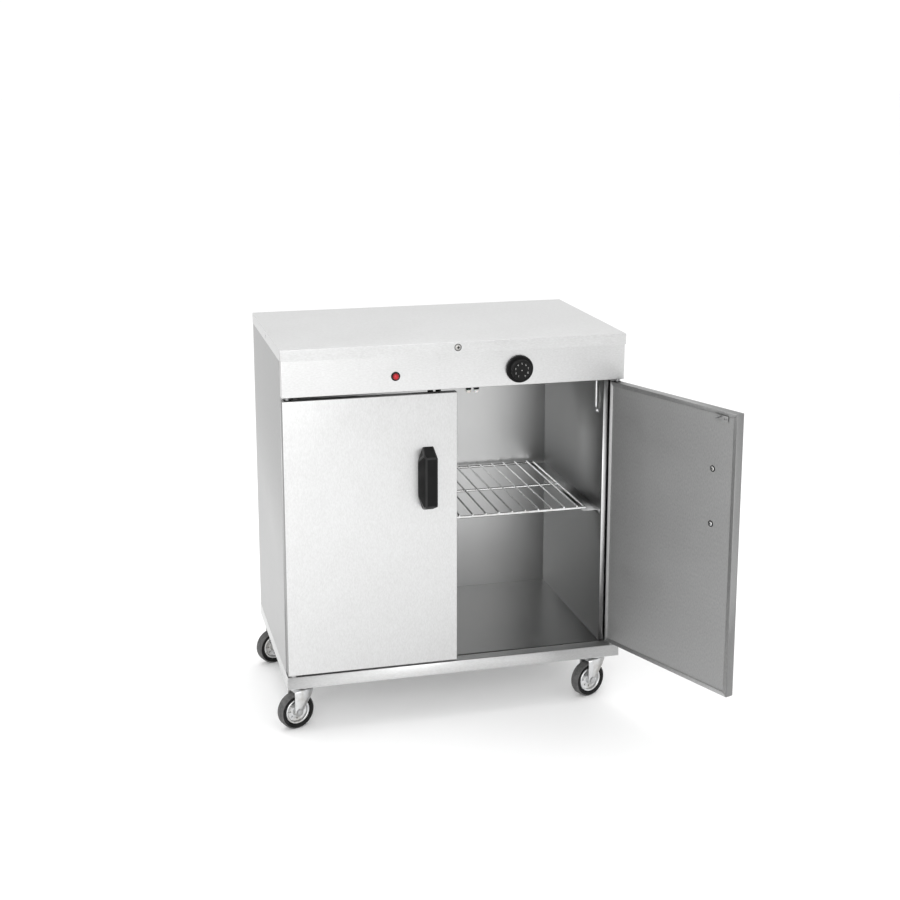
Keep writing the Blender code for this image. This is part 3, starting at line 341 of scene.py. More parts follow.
STEEL_X = satin_sheet("casing_steel_across", "X")
STEEL_Z = satin_sheet("casing_steel_upright", "Z")
# The side sheets' copy of the steel is painted darker than the front's: painted shade on the sides.
SIDE_STEEL_SHADED = satin_sheet("casing_steel_side_painted_shade", "Z", 0.46, 0.52)
# The worktop's upper face has its own copy, painted a little darker than the lips as shade.
TOP_STEEL_SHADED = satin_sheet("casing_steel_top_painted_shade", "X", 0.57, 0.48)
BASE_STEEL = satin_sheet("casing_steel_base", "X", 0.62, 0.42)
DOOR_STEEL = {"left": STEEL_Z, "right": satin_sheet("casing_steel_open_door", "Z", turned_by=OPENED)}
# The doors' lining is a copy of the steel painted darker, as the shade on a door's inner face.
DOOR_LINER_SHADED = {"left": satin_sheet("door_lining_painted_shade", "Z", 0.37, 0.62, 0.0, 0.14),
              "right": satin_sheet("door_open_lining_painted_shade", "Z", 0.37, 0.62, OPENED, 0.14)}
# The doors' folded edges are painted much darker than their fronts: painted shade on the edges.
DOOR_EDGE_SHADED = {"left": satin_sheet("door_folds_painted_shade", "Z", 0.3, 0.5),
             "right": satin_sheet("door_open_folds_painted_shade", "Z", 0.3, 0.5, OPENED)}
# The cavity's lining is one sheet, in copies painted for the light on each face: the side walls, floor,
# runners and ceiling darker as shade, the back and the hems lighter.
SIDE_LINING_SHADED = bright_sheet("lining_upright_painted_shade", "Z", 0.34, 0.4)
BACK_LINING = bright_sheet("lining_back", "Z", 0.6, 0.34)
FLOOR_LINING_SHADED = bright_sheet("lining_deep_painted_shade", "Y", 0.4, 0.28)
CEILING_LINING_SHADED = bright_sheet("lining_across_painted_shade", "X", 0.52, 0.2)
HEM = satin_sheet("lining_hem", "Z", 0.66, 0.38)
ZINC = zinc_plate("zinc_plate", 0.62)
STRIKE = zinc_plate("strike_plate", 0.3)
BOLT = zinc_plate("axle_bolts", 0.42)
WHEEL = zinc_plate("wheel_centre", 0.66)
TUBE = zinc_plate("sensor_tube", 0.7)
# The screws' second finish is near black: painted shade inside their cross recesses.
SCREW = [zinc_plate("screw_heads", 0.5), moulded_black("grime_and_painted_shade", 1500.0, 0.006, 0.7, 0.05)]
CHROME = chrome_wire()
BLACK = moulded_black("moulded_black")
BLACK_GRAIN = moulded_black("moulded_black_grained", 900.0, 0.005, 0.5, 0.14)
# A lighter, glossier copy of the black for the pull's rounded edges: its lighter colour is a painted
# highlight.
BLACK_EDGE_HIGHLIGHT = moulded_black("moulded_black_edge_highlight", 900.0, 0.007, 0.3, 0.34)
# The tyre's sides are painted near black as shade, against the grey of its tread.
TYRE_SIDE_SHADED = tyre_rubber("tyre_side_painted_shade", 0.005, 0.02)
TREAD = tyre_rubber("tyre_tread", 0.075, 0.14)
LENS = red_lens()
NYLON = white_nylon()
PRINT = dial_print()
SHEATH = heat_dulled()


# ---- modelling helpers --------------------------------------------------------------------------
def outline(*points):
    """Points of a turned outline, given in millimetres as (radius, height)."""
    return [(radius * MM, height * MM) for radius, height in points]


def block(low, high):
    shape = bmesh.new()
    low, high = Vector(low), Vector(high)
    place = Matrix.Translation((low + high) / 2) @ Matrix.Diagonal((*(high - low), 1))
    bmesh.ops.create_cube(shape, size=1, matrix=place)
    return shape


def bevel(shape, edges, radius, segments=3, finish=-1):
    """Rounds edges. The new faces take their neighbours' finish, or the one of the given number."""
    bmesh.ops.bevel(shape, geom=list(edges), offset=radius, offset_type="OFFSET", segments=segments,
                    profile=0.5, affect="EDGES", material=finish, clamp_overlap=True)
    return shape


def rounded_block(low, high, radius, segments=2):
    shape = block(low, high)
    return bevel(shape, shape.edges, radius, segments)


def moved(shape, matrix):
    """Applies a matrix to a shape, and keeps its faces pointing out if the matrix mirrors."""
    bmesh.ops.transform(shape, matrix=matrix, verts=shape.verts)
    if matrix.determinant() < 0:
        bmesh.ops.reverse_faces(shape, faces=shape.faces)
    return shape


def joined(*shapes):
    """Several shapes in one, each still its own shell."""
    whole = shapes[0]
    for shape in shapes[1:]:
        mesh = bpy.data.meshes.new("join")
        shape.to_mesh(mesh)
        whole.from_mesh(mesh)
        bpy.data.meshes.remove(mesh)
        shape.free()
    return whole


def aim(direction, base=(0, 0, 0)):
    """The matrix that stands a shape's +Z along a direction."""
    return Matrix.Translation(base) @ Vector(direction).to_track_quat("Z", "Y").to_matrix().to_4x4()


def turned(profile, steps=48):
    """A turned shape about Z from (radius, height) points, listed down its outer side."""
    shape = bmesh.new()
    points = [shape.verts.new((radius, 0, height)) for radius, height in profile]
    edges = [shape.edges.new(pair) for pair in zip(points, points[1:])]
    bmesh.ops.spin(shape, geom=points + edges, cent=(0, 0, 0), axis=(0, 0, 1), angle=math.tau, steps=steps,
                   use_merge=True, use_duplicate=False)
    bmesh.ops.remove_doubles(shape, verts=shape.verts, dist=MERGE)
    bmesh.ops.recalc_face_normals(shape, faces=shape.faces)
    return shape


def arc(centre, radius, start, end, steps):
    """Points along an arc, from one angle to another, in degrees."""
    angles = [math.radians(start + (end - start) * step / steps) for step in range(steps + 1)]
    return [(centre[0] + radius * math.cos(a), centre[1] + radius * math.sin(a)) for a in angles]


def rod(start, end, radius, sides=12, round_end=True):
    """A straight wire or pin, its ends softened or square."""
    start, end = Vector(start), Vector(end)
    length = (end - start).length
    profile = [(0, length), (radius, length), (radius, 0), (0, 0)]
    if round_end:
        soft = radius * 0.4
        profile[1:3] = [(radius - soft, length), (radius, length - soft), (radius, soft), (radius - soft, 0)]
    return moved(turned(profile, sides), aim(end - start, start))


def washer(bore, outer, thickness, steps=28, chamfer=0.3 * MM):
    """A ring standing on Z = 0, its upper outer edge taken off."""
    ring = [(bore, thickness), (outer, thickness), (outer + chamfer, 0), (bore, 0)]
    return turned(ring + ring[:1] if bore else ring, steps)


def mesh_of(data):
    """The mesh that a curve or a text gives, as a bmesh."""
    holder = bpy.data.objects.new("work", data)
    bpy.context.scene.collection.objects.link(holder)
    return evaluated(holder)


def evaluated(holder, *tools):
    """A working object's finished mesh as a bmesh. The object and its tools are removed."""
    bpy.context.view_layer.update()
    mesh = bpy.data.meshes.new_from_object(holder.evaluated_get(bpy.context.evaluated_depsgraph_get()))
    for used in (holder, *tools):
        bpy.data.objects.remove(used)
    shape = bmesh.new()
    shape.from_mesh(mesh)
    bpy.data.meshes.remove(mesh)
    return shape


def swept(points, radius, sides=10):
    """A round wire along a list of points."""
    curve = bpy.data.curves.new("sweep", "CURVE")
    curve.dimensions = "3D"
    curve.bevel_depth = radius
    curve.bevel_resolution = sides // 4 - 1
    curve.use_fill_caps = True
    spline = curve.splines.new("POLY")
    spline.points.add(len(points) - 1)
    for point, position in zip(spline.points, points):
        point.co = (*position, 1)
    shape = mesh_of(curve)
    bmesh.ops.remove_doubles(shape, verts=shape.verts, dist=MERGE)
    bmesh.ops.recalc_face_normals(shape, faces=shape.faces)
    return shape


def smooth_path(points, per_span):
    """A Catmull-Rom curve through the points."""
    points = [Vector(p) for p in points]
    ends = [2 * points[0] - points[1], *points, 2 * points[-1] - points[-2]]
    path = []
    for a, b, c, d in zip(ends, ends[1:], ends[2:], ends[3:]):
        for step in range(per_span):
            t = step / per_span
            path.append(0.5 * (2 * b + (c - a) * t + (2 * a - 5 * b + 4 * c - d) * t * t
                               + (3 * b - a - 3 * c + d) * t ** 3))
    return path + [points[-1]]


def folded_tray(width, height, depth, bend, lip=0.0, corner_gap=CORNER_GAP, segments=4):
    """A sheet in the XY plane, facing +Z, with its four edges folded down and, with a lip, folded in again.

    The corners are left open by a hairline, as folded and not welded sheet has them."""
    shape = bmesh.new()
    bmesh.ops.create_grid(shape, x_segments=1, y_segments=1, size=0.5)
    bmesh.ops.scale(shape, vec=(width, height, 1), verts=shape.verts)
    folds = []
    for edge in list(shape.edges):
        outward = (edge.verts[0].co + edge.verts[1].co).normalized()
        along = Vector((abs(outward.y), abs(outward.x), 0))
        folds.append(edge)
        rows = [(0, -depth, corner_gap)] + ([(-lip, 0, lip)] if lip else [])
        for out, down, shorten in rows:
            grown = bmesh.ops.extrude_edge_only(shape, edges=[edge])["geom"]
            ends = [v for v in grown if isinstance(v, bmesh.types.BMVert)]
            edge = next(e for e in grown if isinstance(e, bmesh.types.BMEdge) and set(e.verts) == set(ends))
            for end in ends:
                end.co += outward * out + Vector((0, 0, down))
                end.co -= along * math.copysign(shorten, end.co.dot(along))
            if lip and down:
                folds.append(edge)
    bevel(shape, folds, bend, segments)
    bmesh.ops.recalc_face_normals(shape, faces=shape.faces)
    top = max(shape.faces, key=lambda f: f.calc_area())
    if top.normal.z < 0:
        bmesh.ops.reverse_faces(shape, faces=shape.faces)
    return shape


def folded_wall(path, bottom, top, bend, segments=4):
    """A sheet standing on a plan path of (x, y) points, with rounded folds."""
    shape = bmesh.new()
    line = [shape.verts.new((x, y, bottom)) for x, y in path]
    edges = [shape.edges.new(pair) for pair in zip(line, line[1:])]
    grown = bmesh.ops.extrude_edge_only(shape, edges=edges)["geom"]
    raised = [v for v in grown if isinstance(v, bmesh.types.BMVert)]
    bmesh.ops.translate(shape, verts=raised, vec=(0, 0, top - bottom))
    inner = [e for e in shape.edges if len(e.link_faces) == 2]
    return bevel(shape, inner, bend, segments)


def holder_of(shape):
    """A working object that holds a shape for a modifier, with room for two finishes."""
    mesh = bpy.data.meshes.new("work")
    shape.to_mesh(mesh)
    shape.free()
    for _ in range(2):
        mesh.materials.append(None)
    holder = bpy.data.objects.new("work", mesh)
    bpy.context.scene.collection.objects.link(holder)
    return holder


def add_wall(made, wall, offset):
    thick = made.modifiers.new("wall", "SOLIDIFY")
    thick.thickness = wall
    thick.offset = offset
    thick.use_even_offset = True


def carved(shape, cutters, wall=0.0):
    """A shape with cutters taken out of it, once a sheet has its wall."""
    holder = holder_of(shape)
    if wall:
        add_wall(holder, wall, -1.0)
    tools = [holder_of(cutter) for cutter in cutters]
    for tool in tools:
        cut = holder.modifiers.new("cut", "BOOLEAN")
        cut.operation = "DIFFERENCE"
        cut.solver = "EXACT"
        cut.object = tool
    return evaluated(holder, *tools)


def piece(name, shape, finish, body, nodes=(), wall=0.0, offset=-1.0):
    """Makes an object of a shape, and gives it its finish, its body and the nodes that it stands for."""
    mesh = bpy.data.meshes.new(name)
    shape.to_mesh(mesh)
    shape.free()
    made = bpy.data.objects.new(name, mesh)
    bpy.context.scene.collection.objects.link(made)
    for material in finish if isinstance(finish, list) else [finish]:
        mesh.materials.append(material)
    mesh.shade_smooth()
    mesh.set_sharp_from_angle(angle=SMOOTH_ANGLE)
    if wall:
        add_wall(made, wall, offset)
    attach(made, body)
    if nodes:
        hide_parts(*nodes)


def dress(node, finish):
    """Gives a kept CAD node its finish."""
    made = frame["nodes"][node]
    for holder in made.material_slots:
        holder.material = finish


# ---- screws and nuts, all standing on Z = 0 -----------------------------------------------------
def cross_recess(radius, depth):
    """Cutters in the shape of a cross recess, their middle at Z = 0 and their faces of the second finish, a
    near black that paints shade into the recess.
    """
    arm, width = radius * 0.56, radius * 0.15
    arms = [block((-arm, -width, -depth), (arm, width, depth)),
            block((-width, -arm, -depth), (width, arm, depth))]
    for cutter in arms:
        tips = [v for v in cutter.verts if v.co.z < 0]
        bmesh.ops.scale(cutter, vec=(0.6, 0.6, 1), verts=tips)
        for face in cutter.faces:
            face.material_index = 1
    return arms


def pan_head(radius, height):
    """A pan-head screw's head with its cross recess."""
    dome = [(0, 1), (0.35, 0.99), (0.7, 0.86), (0.9, 0.58), (1, 0.2), (0.98, 0), (0, 0)]
    dome = [(radius * across, height * up) for across, up in dome]
    cutters = [moved(cutter, at(0, 0, height)) for cutter in cross_recess(radius * 1.15, height * 0.7)]
    return carved(turned(dome, 32), cutters)


def flush_head(radius, depth):
    """A countersunk screw's head with its cross recess, its face at Z = 0."""
    cone = [(0, 0), (radius, 0), (radius, -depth * 0.15), (radius * 0.5, -depth), (0, -depth)]
    return carved(turned(cone, 32), cross_recess(radius, depth * 0.5))


def hex_head(across_flats, height):
    """A hexagon head or nut with its corners turned off."""
    shape = bmesh.new()
    corner = across_flats / math.sqrt(3)
    bmesh.ops.create_cone(shape, cap_ends=True, segments=6, radius1=corner, radius2=corner, depth=height,
                          matrix=at(0, 0, height / 2))
    rims = [e for e in shape.edges if all(v.co.z > height / 2 for v in e.verts)]
    return bevel(shape, rims, height * 0.16, 2)


# ---- casing -------------------------------------------------------------------------------------
def worktop():
    """Lidded sheet with a countersunk screw in each side lip and a pan head in the front one."""
    low, high, middle = span("top_panel")
    screw_low, screw_high, screw_middle = span("fascia_screw")
    radius = 5 * MM
    shape = folded_tray(high.x - low.x, high.y - low.y, high.z - low.z, TOP_BEND)
    moved(shape, at(middle.x, middle.y, high.z))
    ends = [(side, low.x if side < 0 else high.x) for side in (-1, 1)]
    places = [aim((side, 0, 0), (x, middle.y, screw_middle.z)) for side, x in ends]
    dimple = outline((0, 1), (6, 1), (6, 0), (2.5, -3), (0, -3))
    shape = carved(shape, [moved(turned(dimple, 32), place) for place in places], SHEET)
    # The upper face takes the second finish, the copy painted darker as shade.
    for face in shape.faces:
        at_top = face.calc_center_median().z > high.z - 0.5 * MM
        face.material_index = int(at_top and face.normal.z > 0.9)
    piece("worktop", shape, [STEEL_X, TOP_STEEL_SHADED], "cabinet", ["top_panel"])
    heads = [moved(flush_head(radius, 2.4 * MM), place @ at(0, 0, -HAIR)) for place in places]
    piece("worktop_side_screws", joined(*heads), SCREW, "cabinet", ())

    radius = (screw_high.x - screw_low.x) / 2
    lip = aim((0, -1, 0), (screw_middle.x, low.y, screw_middle.z))
    head = moved(pan_head(radius, 2.2 * MM), lip @ at(0, 0, HAIR))
    piece("worktop_front_screw", head, SCREW, "cabinet", ["fascia_screw"])
    ring = moved(washer(2.5 * MM, radius + 1.1 * MM, 0.3 * MM, 40, 0.2 * MM), lip @ at(0, 0, 0.02 * MM))
    piece("worktop_screw_washer", ring, BLACK, "cabinet", ())


def base_tray():
    """Tray upside down, and the two pins that the doors stand on, each with its washer."""
    low, high, middle = span("base_tray")
    lip, pin = 26 * MM, 4 * MM
    top = span("side_panel_left")[0].z - FIT
    shape = folded_tray(high.x - low.x, high.y - low.y, top - low.z, BEND, lip)
    moved(shape, at(middle.x, middle.y, low.z) @ FACING_DOWN)
    piece("base_tray_sheet", shape, BASE_STEEL, "cabinet", ["base_tray"], SHEET)
    ring = outline((4.2, 2), (8, 2), (8.4, 1.6), (8.4, 0), (4.2, 0), (4.2, 2))
    pins = []
    for side in ("left", "right"):
        x, y = joint(f"{side}_door_hinge")["pos_m"][:2]
        pins.append(rod((x, y, top), (x, y, high.z), pin, 20))
        pins.append(moved(turned(ring, 28), at(x, y, top + HAIR)))
    piece("hinge_pins", joined(*pins), ZINC, "cabinet", ())


def control_fascia():
    low, high, middle = span("fascia_panel")
    shape = folded_tray(high.x - low.x, high.z - low.z, high.y - low.y, BEND, corner_gap=0.6 * MM)
    moved(shape, at(middle.x, low.y, middle.z) @ FACING_FRONT)
    piece("control_fascia", shape, STEEL_X, "cabinet", ["fascia_panel"], SHEET)


def side_sheets():
    for side in ("left", "right"):
        low, high = span(f"side_panel_{side}")[:2]
        outer, inner = (low.x, high.x) if side == "left" else (high.x, low.x)
        path = [(inner, low.y), (outer, low.y), (outer, high.y), (inner, high.y)]
        shape = folded_wall(path, low.z, high.z, BEND)
        inwards = -1.0 if side == "right" else 1.0
        # The side sheets take the darker copy of the steel, painted shade.
        piece(f"side_sheet_{side}", shape, SIDE_STEEL_SHADED, "cabinet", [f"side_panel_{side}"],
              SHEET, inwards)


def back_screws():
    """Pan heads round the edge of the back panel."""
    low, high, middle = span("back_panel")
    inset, top_inset, spacing = 14 * MM, 40 * MM, 120 * MM
    bottom, top = low.z + inset, high.z - top_inset
    places = [(x, z) for z in (bottom, middle.z, top) for x in (low.x + inset, high.x - inset)]
    places += [(middle.x + offset, z) for offset in (-spacing, spacing) for z in (bottom, top)]
    heads = [moved(pan_head(4 * MM, 1.5 * MM), aim((0, 1, 0), (x, high.y, z))) for x, z in places]
    piece("back_panel_screws", joined(*heads), SCREW, "cabinet", ())


def cable_gland():
    """Black gland: hexagon with its bore, and a domed nut."""
    low, high, middle = span("cable_gland")
    face = span("back_panel")[1].y + FIT
    reach = high.y - face
    radius = (high.x - low.x) / 2
    bore, nut_end = radius * 0.33, reach * 0.42
    dome = [(bore, reach), (radius * 0.62, reach), (radius * 0.78, reach * 0.86),
            (radius * 0.86, reach * 0.5), (radius * 0.86, nut_end), (bore, nut_end), (bore, reach)]
    nut = hex_head(radius * 2 * math.cos(math.pi / 6), reach * 0.4)
    nut = carved(nut, [rod((0, 0, -0.05), (0, 0, 0.05), bore, 24, False)])
    barrel = rod((0, 0, low.y - face), (0, 0, -FIT), radius * 0.66, 28)
    gland = moved(joined(nut, turned(dome, 40), barrel), aim((0, 1, 0), (middle.x, face, middle.z)))
    piece("gland_body", gland, BLACK, "cabinet", ["cable_gland"])


def lining():
    """Side walls of the cavity, their front edges hemmed back on themselves."""
    hem_depth, bend = 9 * MM, 1.3 * MM
    for side in ("left", "right"):
        low, high = span(f"liner_{side}")[:2]
        wall, hem = (high.x, low.x) if side == "left" else (low.x, high.x)
        hem += SHEET if side == "left" else -SHEET
        path = [(hem, low.y + hem_depth), (hem, low.y), (wall, low.y), (wall, high.y)]
        shape = folded_wall(path, low.z, high.z, bend)
        # Wall faces take the darker copy, painted shade; the hem's front faces take the lighter copy, painted
        # light.
        for face in shape.faces:
            face.material_index = int(abs(face.normal.y) > 0.7)
        outwards = -1.0 if side == "left" else 1.0
        piece(f"lining_{side}", shape, [SIDE_LINING_SHADED, HEM], "cabinet", [f"liner_{side}"],
              SHEET, outwards)


# ---- controls -----------------------------------------------------------------------------------
def lettering(text, height, depth, matrix):
    """A flat raised character, standing on its own Z = 0 plane and placed by a matrix."""
    curve = bpy.data.curves.new("digit", "FONT")
    curve.body = text
    curve.size = height
    curve.align_x, curve.align_y = "CENTER", "CENTER"
    curve.extrude = depth / 2
    curve.resolution_u = 3
    shape = mesh_of(curve)
    bmesh.ops.remove_doubles(shape, verts=shape.verts, dist=MERGE)
    return moved(shape, matrix)


def thermostat_knob():
    """Round dial: a thin skirt with two fine rings, a grip with a softened rim, and a dished face."""
    low, high, middle = span("thermostat_knob")
    skirt, length = (high.x - low.x) / 2, high.y - low.y
    grip, dish, rim, edge = 22.4 * MM, 1.4 * MM, 2.2 * MM, 1.2 * MM
    thick, ring = 5 * MM, 0.35 * MM
    face = length - dish
    shaft, shaft_depth, under = 4 * MM, 11 * MM, 2.4 * MM
    profile = [(0, face), (5 * MM, face), (17.6 * MM, face), (18.6 * MM, length - 1.0 * MM),
               *arc((grip - rim, length - rim), rim, 112, 0, 6),
               (grip + 0.5 * MM, thick + 1.4 * MM), (grip + 1.2 * MM, thick), (25.0 * MM, thick),
               (25.3 * MM, thick + ring), (25.9 * MM, thick + ring), (26.2 * MM, thick),
               (27.0 * MM, thick), (27.3 * MM, thick + ring),
               *arc((skirt - edge, thick - 0.9 * MM), edge, 90, 0, 5),
               (skirt, 0.6 * MM), (skirt - 0.6 * MM, 0), (skirt - 3 * MM, 0), (skirt - 3.4 * MM, under),
               (shaft, under), (shaft, shaft_depth), (0, shaft_depth)]
    shape = moved(turned(profile, 96), aim((0, -1, 0), (middle.x, high.y, middle.z)))
    piece("dial_knob", shape, BLACK, "thermostat", ["thermostat_knob"])
    dial_numbers(at(middle.x, low.y + dish, middle.z) @ FACING_FRONT)


def dial_numbers(upright):
    """Numbers 1 to 9 clockwise round the dial from its lower left, and a dot in the middle."""
    last, first_angle, sweep = 9, 240, 300
    ring, size, raised = 14.4 * MM, 6.0 * MM, 0.2 * MM
    marks = []
    for number in range(1, last + 1):
        angle = math.radians(first_angle - (number - 1) * sweep / (last - 1))
        spot = upright @ at(ring * math.cos(angle), ring * math.sin(angle), 0.05 * MM)
        marks.append(lettering(str(number), size, raised, spot))
    marks.append(moved(turned(outline((0, 0.6), (0.8, 0.5), (1.2, 0), (0, 0)), 28), upright))
    piece("dial_numbers", joined(*marks), PRINT, "thermostat", ())


def pilot_lamp():
    """Black ring with a raised rim, and a domed red window in it."""
    low, high, middle = span("lamp_bezel")
    lens_low, lens_high = span("lamp_lens")[:2]
    face = span("fascia_panel")[0].y - FIT
    seat = aim((0, -1, 0), (middle.x, face, middle.z))
    radius, rim, tail = (high.x - low.x) / 2, face - low.y, high.y - face
    lens, lens_top = (lens_high.x - lens_low.x) / 2, face - lens_low.y
    bore = lens + 0.2 * MM
    neck = bore + 1.2 * MM
    ring = [(bore, rim * 0.8), (bore + 0.5 * MM, rim), (radius * 0.72, rim), (radius * 0.86, rim * 0.84),
            (radius * 0.97, rim * 0.45), (radius, rim * 0.12), (radius, 0), (neck, 0), (neck, -tail),
            (bore, -tail), (bore, rim * 0.8)]
    piece("lamp_ring", moved(turned(ring, 64), seat), BLACK, "cabinet", ["lamp_bezel"])
    angles = [math.radians(step * 12) for step in range(1, 8)]
    dome = [(0, lens_top)] + [(lens * math.sin(a), rim + (lens_top - rim) * math.cos(a)) for a in angles]
    dome += [(lens, -tail * 0.4), (0, -tail * 0.4)]
    piece("lamp_window", moved(turned(dome, 48), seat), LENS, "cabinet", ["lamp_lens"])


def temperature_sensor():
    """Capillary, bulb and the ball clip that holds the bulb's foot."""
    high = span("sensor_bulb")[1]
    clip_high, clip_middle = span("sensor_clip")[1:]
    body_high, body_middle = span("thermostat_body")[1:]
    ceiling = span("cavity_ceiling")[0].z
    bulb_radius, capillary, bend = 3 * MM, 1.2 * MM, 12 * MM
    x, y, top = high.x - bulb_radius, clip_middle.y, ceiling - 12 * MM
    start = Vector((body_high.x + FIT, body_middle.y, body_middle.z))
    route = [start, start + Vector((bend, 0, 0)), (x - bend, y, start.z), (x, y, start.z - 14 * MM),
             (x, y, ceiling + 6 * MM), (x, y, top - 1 * MM)]
    line = swept(smooth_path(route, 10), capillary, 12)
    bulb = outline((0, 0.4), (1.6, 0), (2.7, -1.8), (3, -4), (3, -58), (2.4, -61), (1.2, -63), (0, -63.4))
    bulb = moved(turned(bulb, 28), at(x, y, top))
    piece("sensor_tube", joined(line, bulb), TUBE, "cabinet", ["sensor_bulb"])
    ball, foot = 4.5 * MM, -1.9 * MM
    button = [(0, ball), *arc((0, 0), ball, 80, 0, 7), (ball * 0.96, -1.2 * MM), (ball * 0.6, foot),
              (0, foot)]
    button = moved(turned(button, 32), aim((-1, 0, 0), (clip_high.x - 2 * MM, y, clip_middle.z)))
    piece("sensor_button", button, ZINC, "cabinet", ["sensor_clip"])


# ---- shelf --------------------------------------------------------------------------------------
def wire_shelf():
    """Chromed shelf: four rails and a stiffener under a row of cross wires, with a weld at each crossing."""
    low, high, middle = span("wire_shelf")
    rail, wire, weld, pitch = 3.2 * MM, 2.0 * MM, 1.7 * MM, 30 * MM
    top, z = high.z - wire, low.z + rail
    front, back = low.y + rail, high.y - rail
    left, right = low.x + rail, high.x - rail
    parts = [rod((low.x, y, z), (high.x, y, z), rail, 16) for y in (front, back)]
    parts.append(rod((left, middle.y, z), (right, middle.y, z), rail - 0.3 * MM, 16))
    parts += [rod((x, front, z), (x, back, z), rail - 0.2 * MM, 16) for x in (left, right)]
    count = int((right - left) / pitch)
    for number in range(count):
        x = middle.x + (number - (count - 1) / 2) * pitch
        parts.append(rod((x, front - wire, top), (x, back + wire, top), wire, 12))
        for y in (front, middle.y, back):
            bead = bmesh.new()
            bmesh.ops.create_icosphere(bead, subdivisions=2, radius=weld)
            parts.append(moved(bead, at(x, y, top - wire * 0.8) @ Matrix.Diagonal((1.5, 1.1, 0.6, 1))))
    piece("shelf_wires", joined(*parts), CHROME, "shelf", ["wire_shelf"])


def shelf_runners():
    """An angle on each side wall, its ledge under the shelf."""
    bend = 1.8 * MM
    for side in ("left", "right"):
        low, high = span(f"shelf_runner_{side}")[:2]
        wall, edge = (low.x, high.x) if side == "left" else (high.x, low.x)
        path = [(wall, low.z), (wall, high.z), (edge, high.z)]
        shape = moved(folded_wall(path, low.y, high.y, bend), ALONG_Y)
        bmesh.ops.recalc_face_normals(shape, faces=shape.faces)
        ledge = max(shape.faces, key=lambda f: f.calc_center_median().z)
        if ledge.normal.z < 0:
            bmesh.ops.reverse_faces(shape, faces=shape.faces)
        piece(f"runner_{side}", shape, FLOOR_LINING_SHADED, "cabinet", [f"shelf_runner_{side}"],
              SHEET)


# ---- doors, in a door's own frame ---------------------------------------------------------------
def in_door(node):
    """A left-door node's box, measured from the door's hinge line."""
    shift = door_matrix("left").translation
    return tuple(corner - shift for corner in span(node))


def door(side):
    """Skin folded round its edges, with its pull, screws, strike and hinge bushes. The CAD lining is kept."""
    place, body = door_matrix(side), f"{side}_door"
    low, high, middle = in_door("door_skin_left")
    lip = 9 * MM
    shape = folded_tray(high.x - low.x, high.z - low.z, high.y - low.y, DOOR_BEND, lip, 0.6 * MM)
    # Front faces take the front finish, the folded edges their painted shade, and the inward lips the
    # lining's darker copy, also painted shade.
    for face in shape.faces:
        face.material_index = 0 if face.normal.z > 0.9 else 2 if face.normal.z < -0.9 else 1
    moved(shape, place @ at(middle.x, low.y, middle.z) @ FACING_FRONT)
    finishes = [DOOR_STEEL[side], DOOR_EDGE_SHADED[side], DOOR_LINER_SHADED[side]]
    piece(f"door_front_{side}", shape, finishes, body, [f"door_skin_{side}"], DOOR_SHEET)
    dress(f"door_liner_{side}", DOOR_LINER_SHADED[side])
    dress(f"pivot_bolt_{side}", STRIKE)
    door_handle(side, body, place)
    handle_screws(side, body, place)
    strike(side, body, place)

    bush = outline((4.4, 0.9), (7.2, 0.9), (7.8, 0.4), (7.8, 0), (4.4, 0), (4.4, 0.9))
    bushes = [moved(turned(bush, 28), place @ at(0, 0, high.z + HAIR)),
              moved(turned(bush, 28), place @ at(0, 0, low.z - HAIR) @ FACING_DOWN)]
    piece(f"hinge_bushes_{side}", joined(*bushes), BLACK, body, ())


POCKET_HALF = 46 * MM       # half the length of the pull's finger pocket


def door_handle(side, body, place):
    """Moulded pull: a tapered block with its closed side's corners cut off, and a finger pocket."""
    low, high, middle = in_door("door_handle_left")
    width, length = (high - low).xz
    taper, grip, cut_across, cut_along = 15.5 * MM, 26 * MM, 10 * MM, 30 * MM
    shape = block(low, high)
    for corner in shape.verts:
        if corner.co.y < middle.y:
            corner.co.z += taper if corner.co.z < middle.z else -taper
            if corner.co.x < middle.x:
                corner.co.x += width - grip
    for end in (-1, 1):
        edge = Vector((low.x, middle.y, middle.z + end * (length / 2 - cut_along)))
        bmesh.ops.bisect_plane(shape, geom=shape.verts[:] + shape.edges[:] + shape.faces[:], plane_co=edge,
                               plane_no=(-cut_along, 0, end * cut_across), clear_outer=True)
        bmesh.ops.holes_fill(shape, edges=shape.edges)
    bmesh.ops.dissolve_limit(shape, angle_limit=0.01, verts=shape.verts, edges=shape.edges)
    rims = [e for e in shape.edges if any(v.co.y < high.y - HAIR for v in e.verts)]
    # The rounded rims take the second finish, the lighter copy: a painted highlight along the edges.
    bevel(shape, rims, 3.0 * MM, 5, 1)
    shape = carved(shape, [finger_pocket(low, high, middle)])
    bmesh.ops.remove_doubles(shape, verts=shape.verts, dist=0.01 * MM)
    mouth = [e for e in shape.edges if len(e.link_faces) == 2 and e.calc_face_angle() > math.radians(60)
             and all(v.co.x > high.x - 0.2 * MM and abs(v.co.z - middle.z) < POCKET_HALF + 0.2 * MM
                     for v in e.verts)]
    bevel(shape, mouth, 0.8 * MM, 2)
    piece(f"pull_{side}", moved(shape, place), [BLACK_GRAIN, BLACK_EDGE_HIGHLIGHT], body, [f"door_handle_{side}"])


def finger_pocket(low, high, middle):
    """Cutter for the pull's pocket, open past its free side and rounded inside."""
    depth, past, front_wall, back_wall = 21 * MM, 9 * MM, 5 * MM, 1.6 * MM
    pocket = block((high.x - depth, low.y + front_wall, middle.z - POCKET_HALF),
                   (high.x + past, high.y - back_wall, middle.z + POCKET_HALF))
    inner = [e for e in pocket.edges if all(v.co.x < high.x for v in e.verts)
             or abs(e.verts[0].co.x - e.verts[1].co.x) > MM]
    return bevel(pocket, inner, 3 * MM, 3)


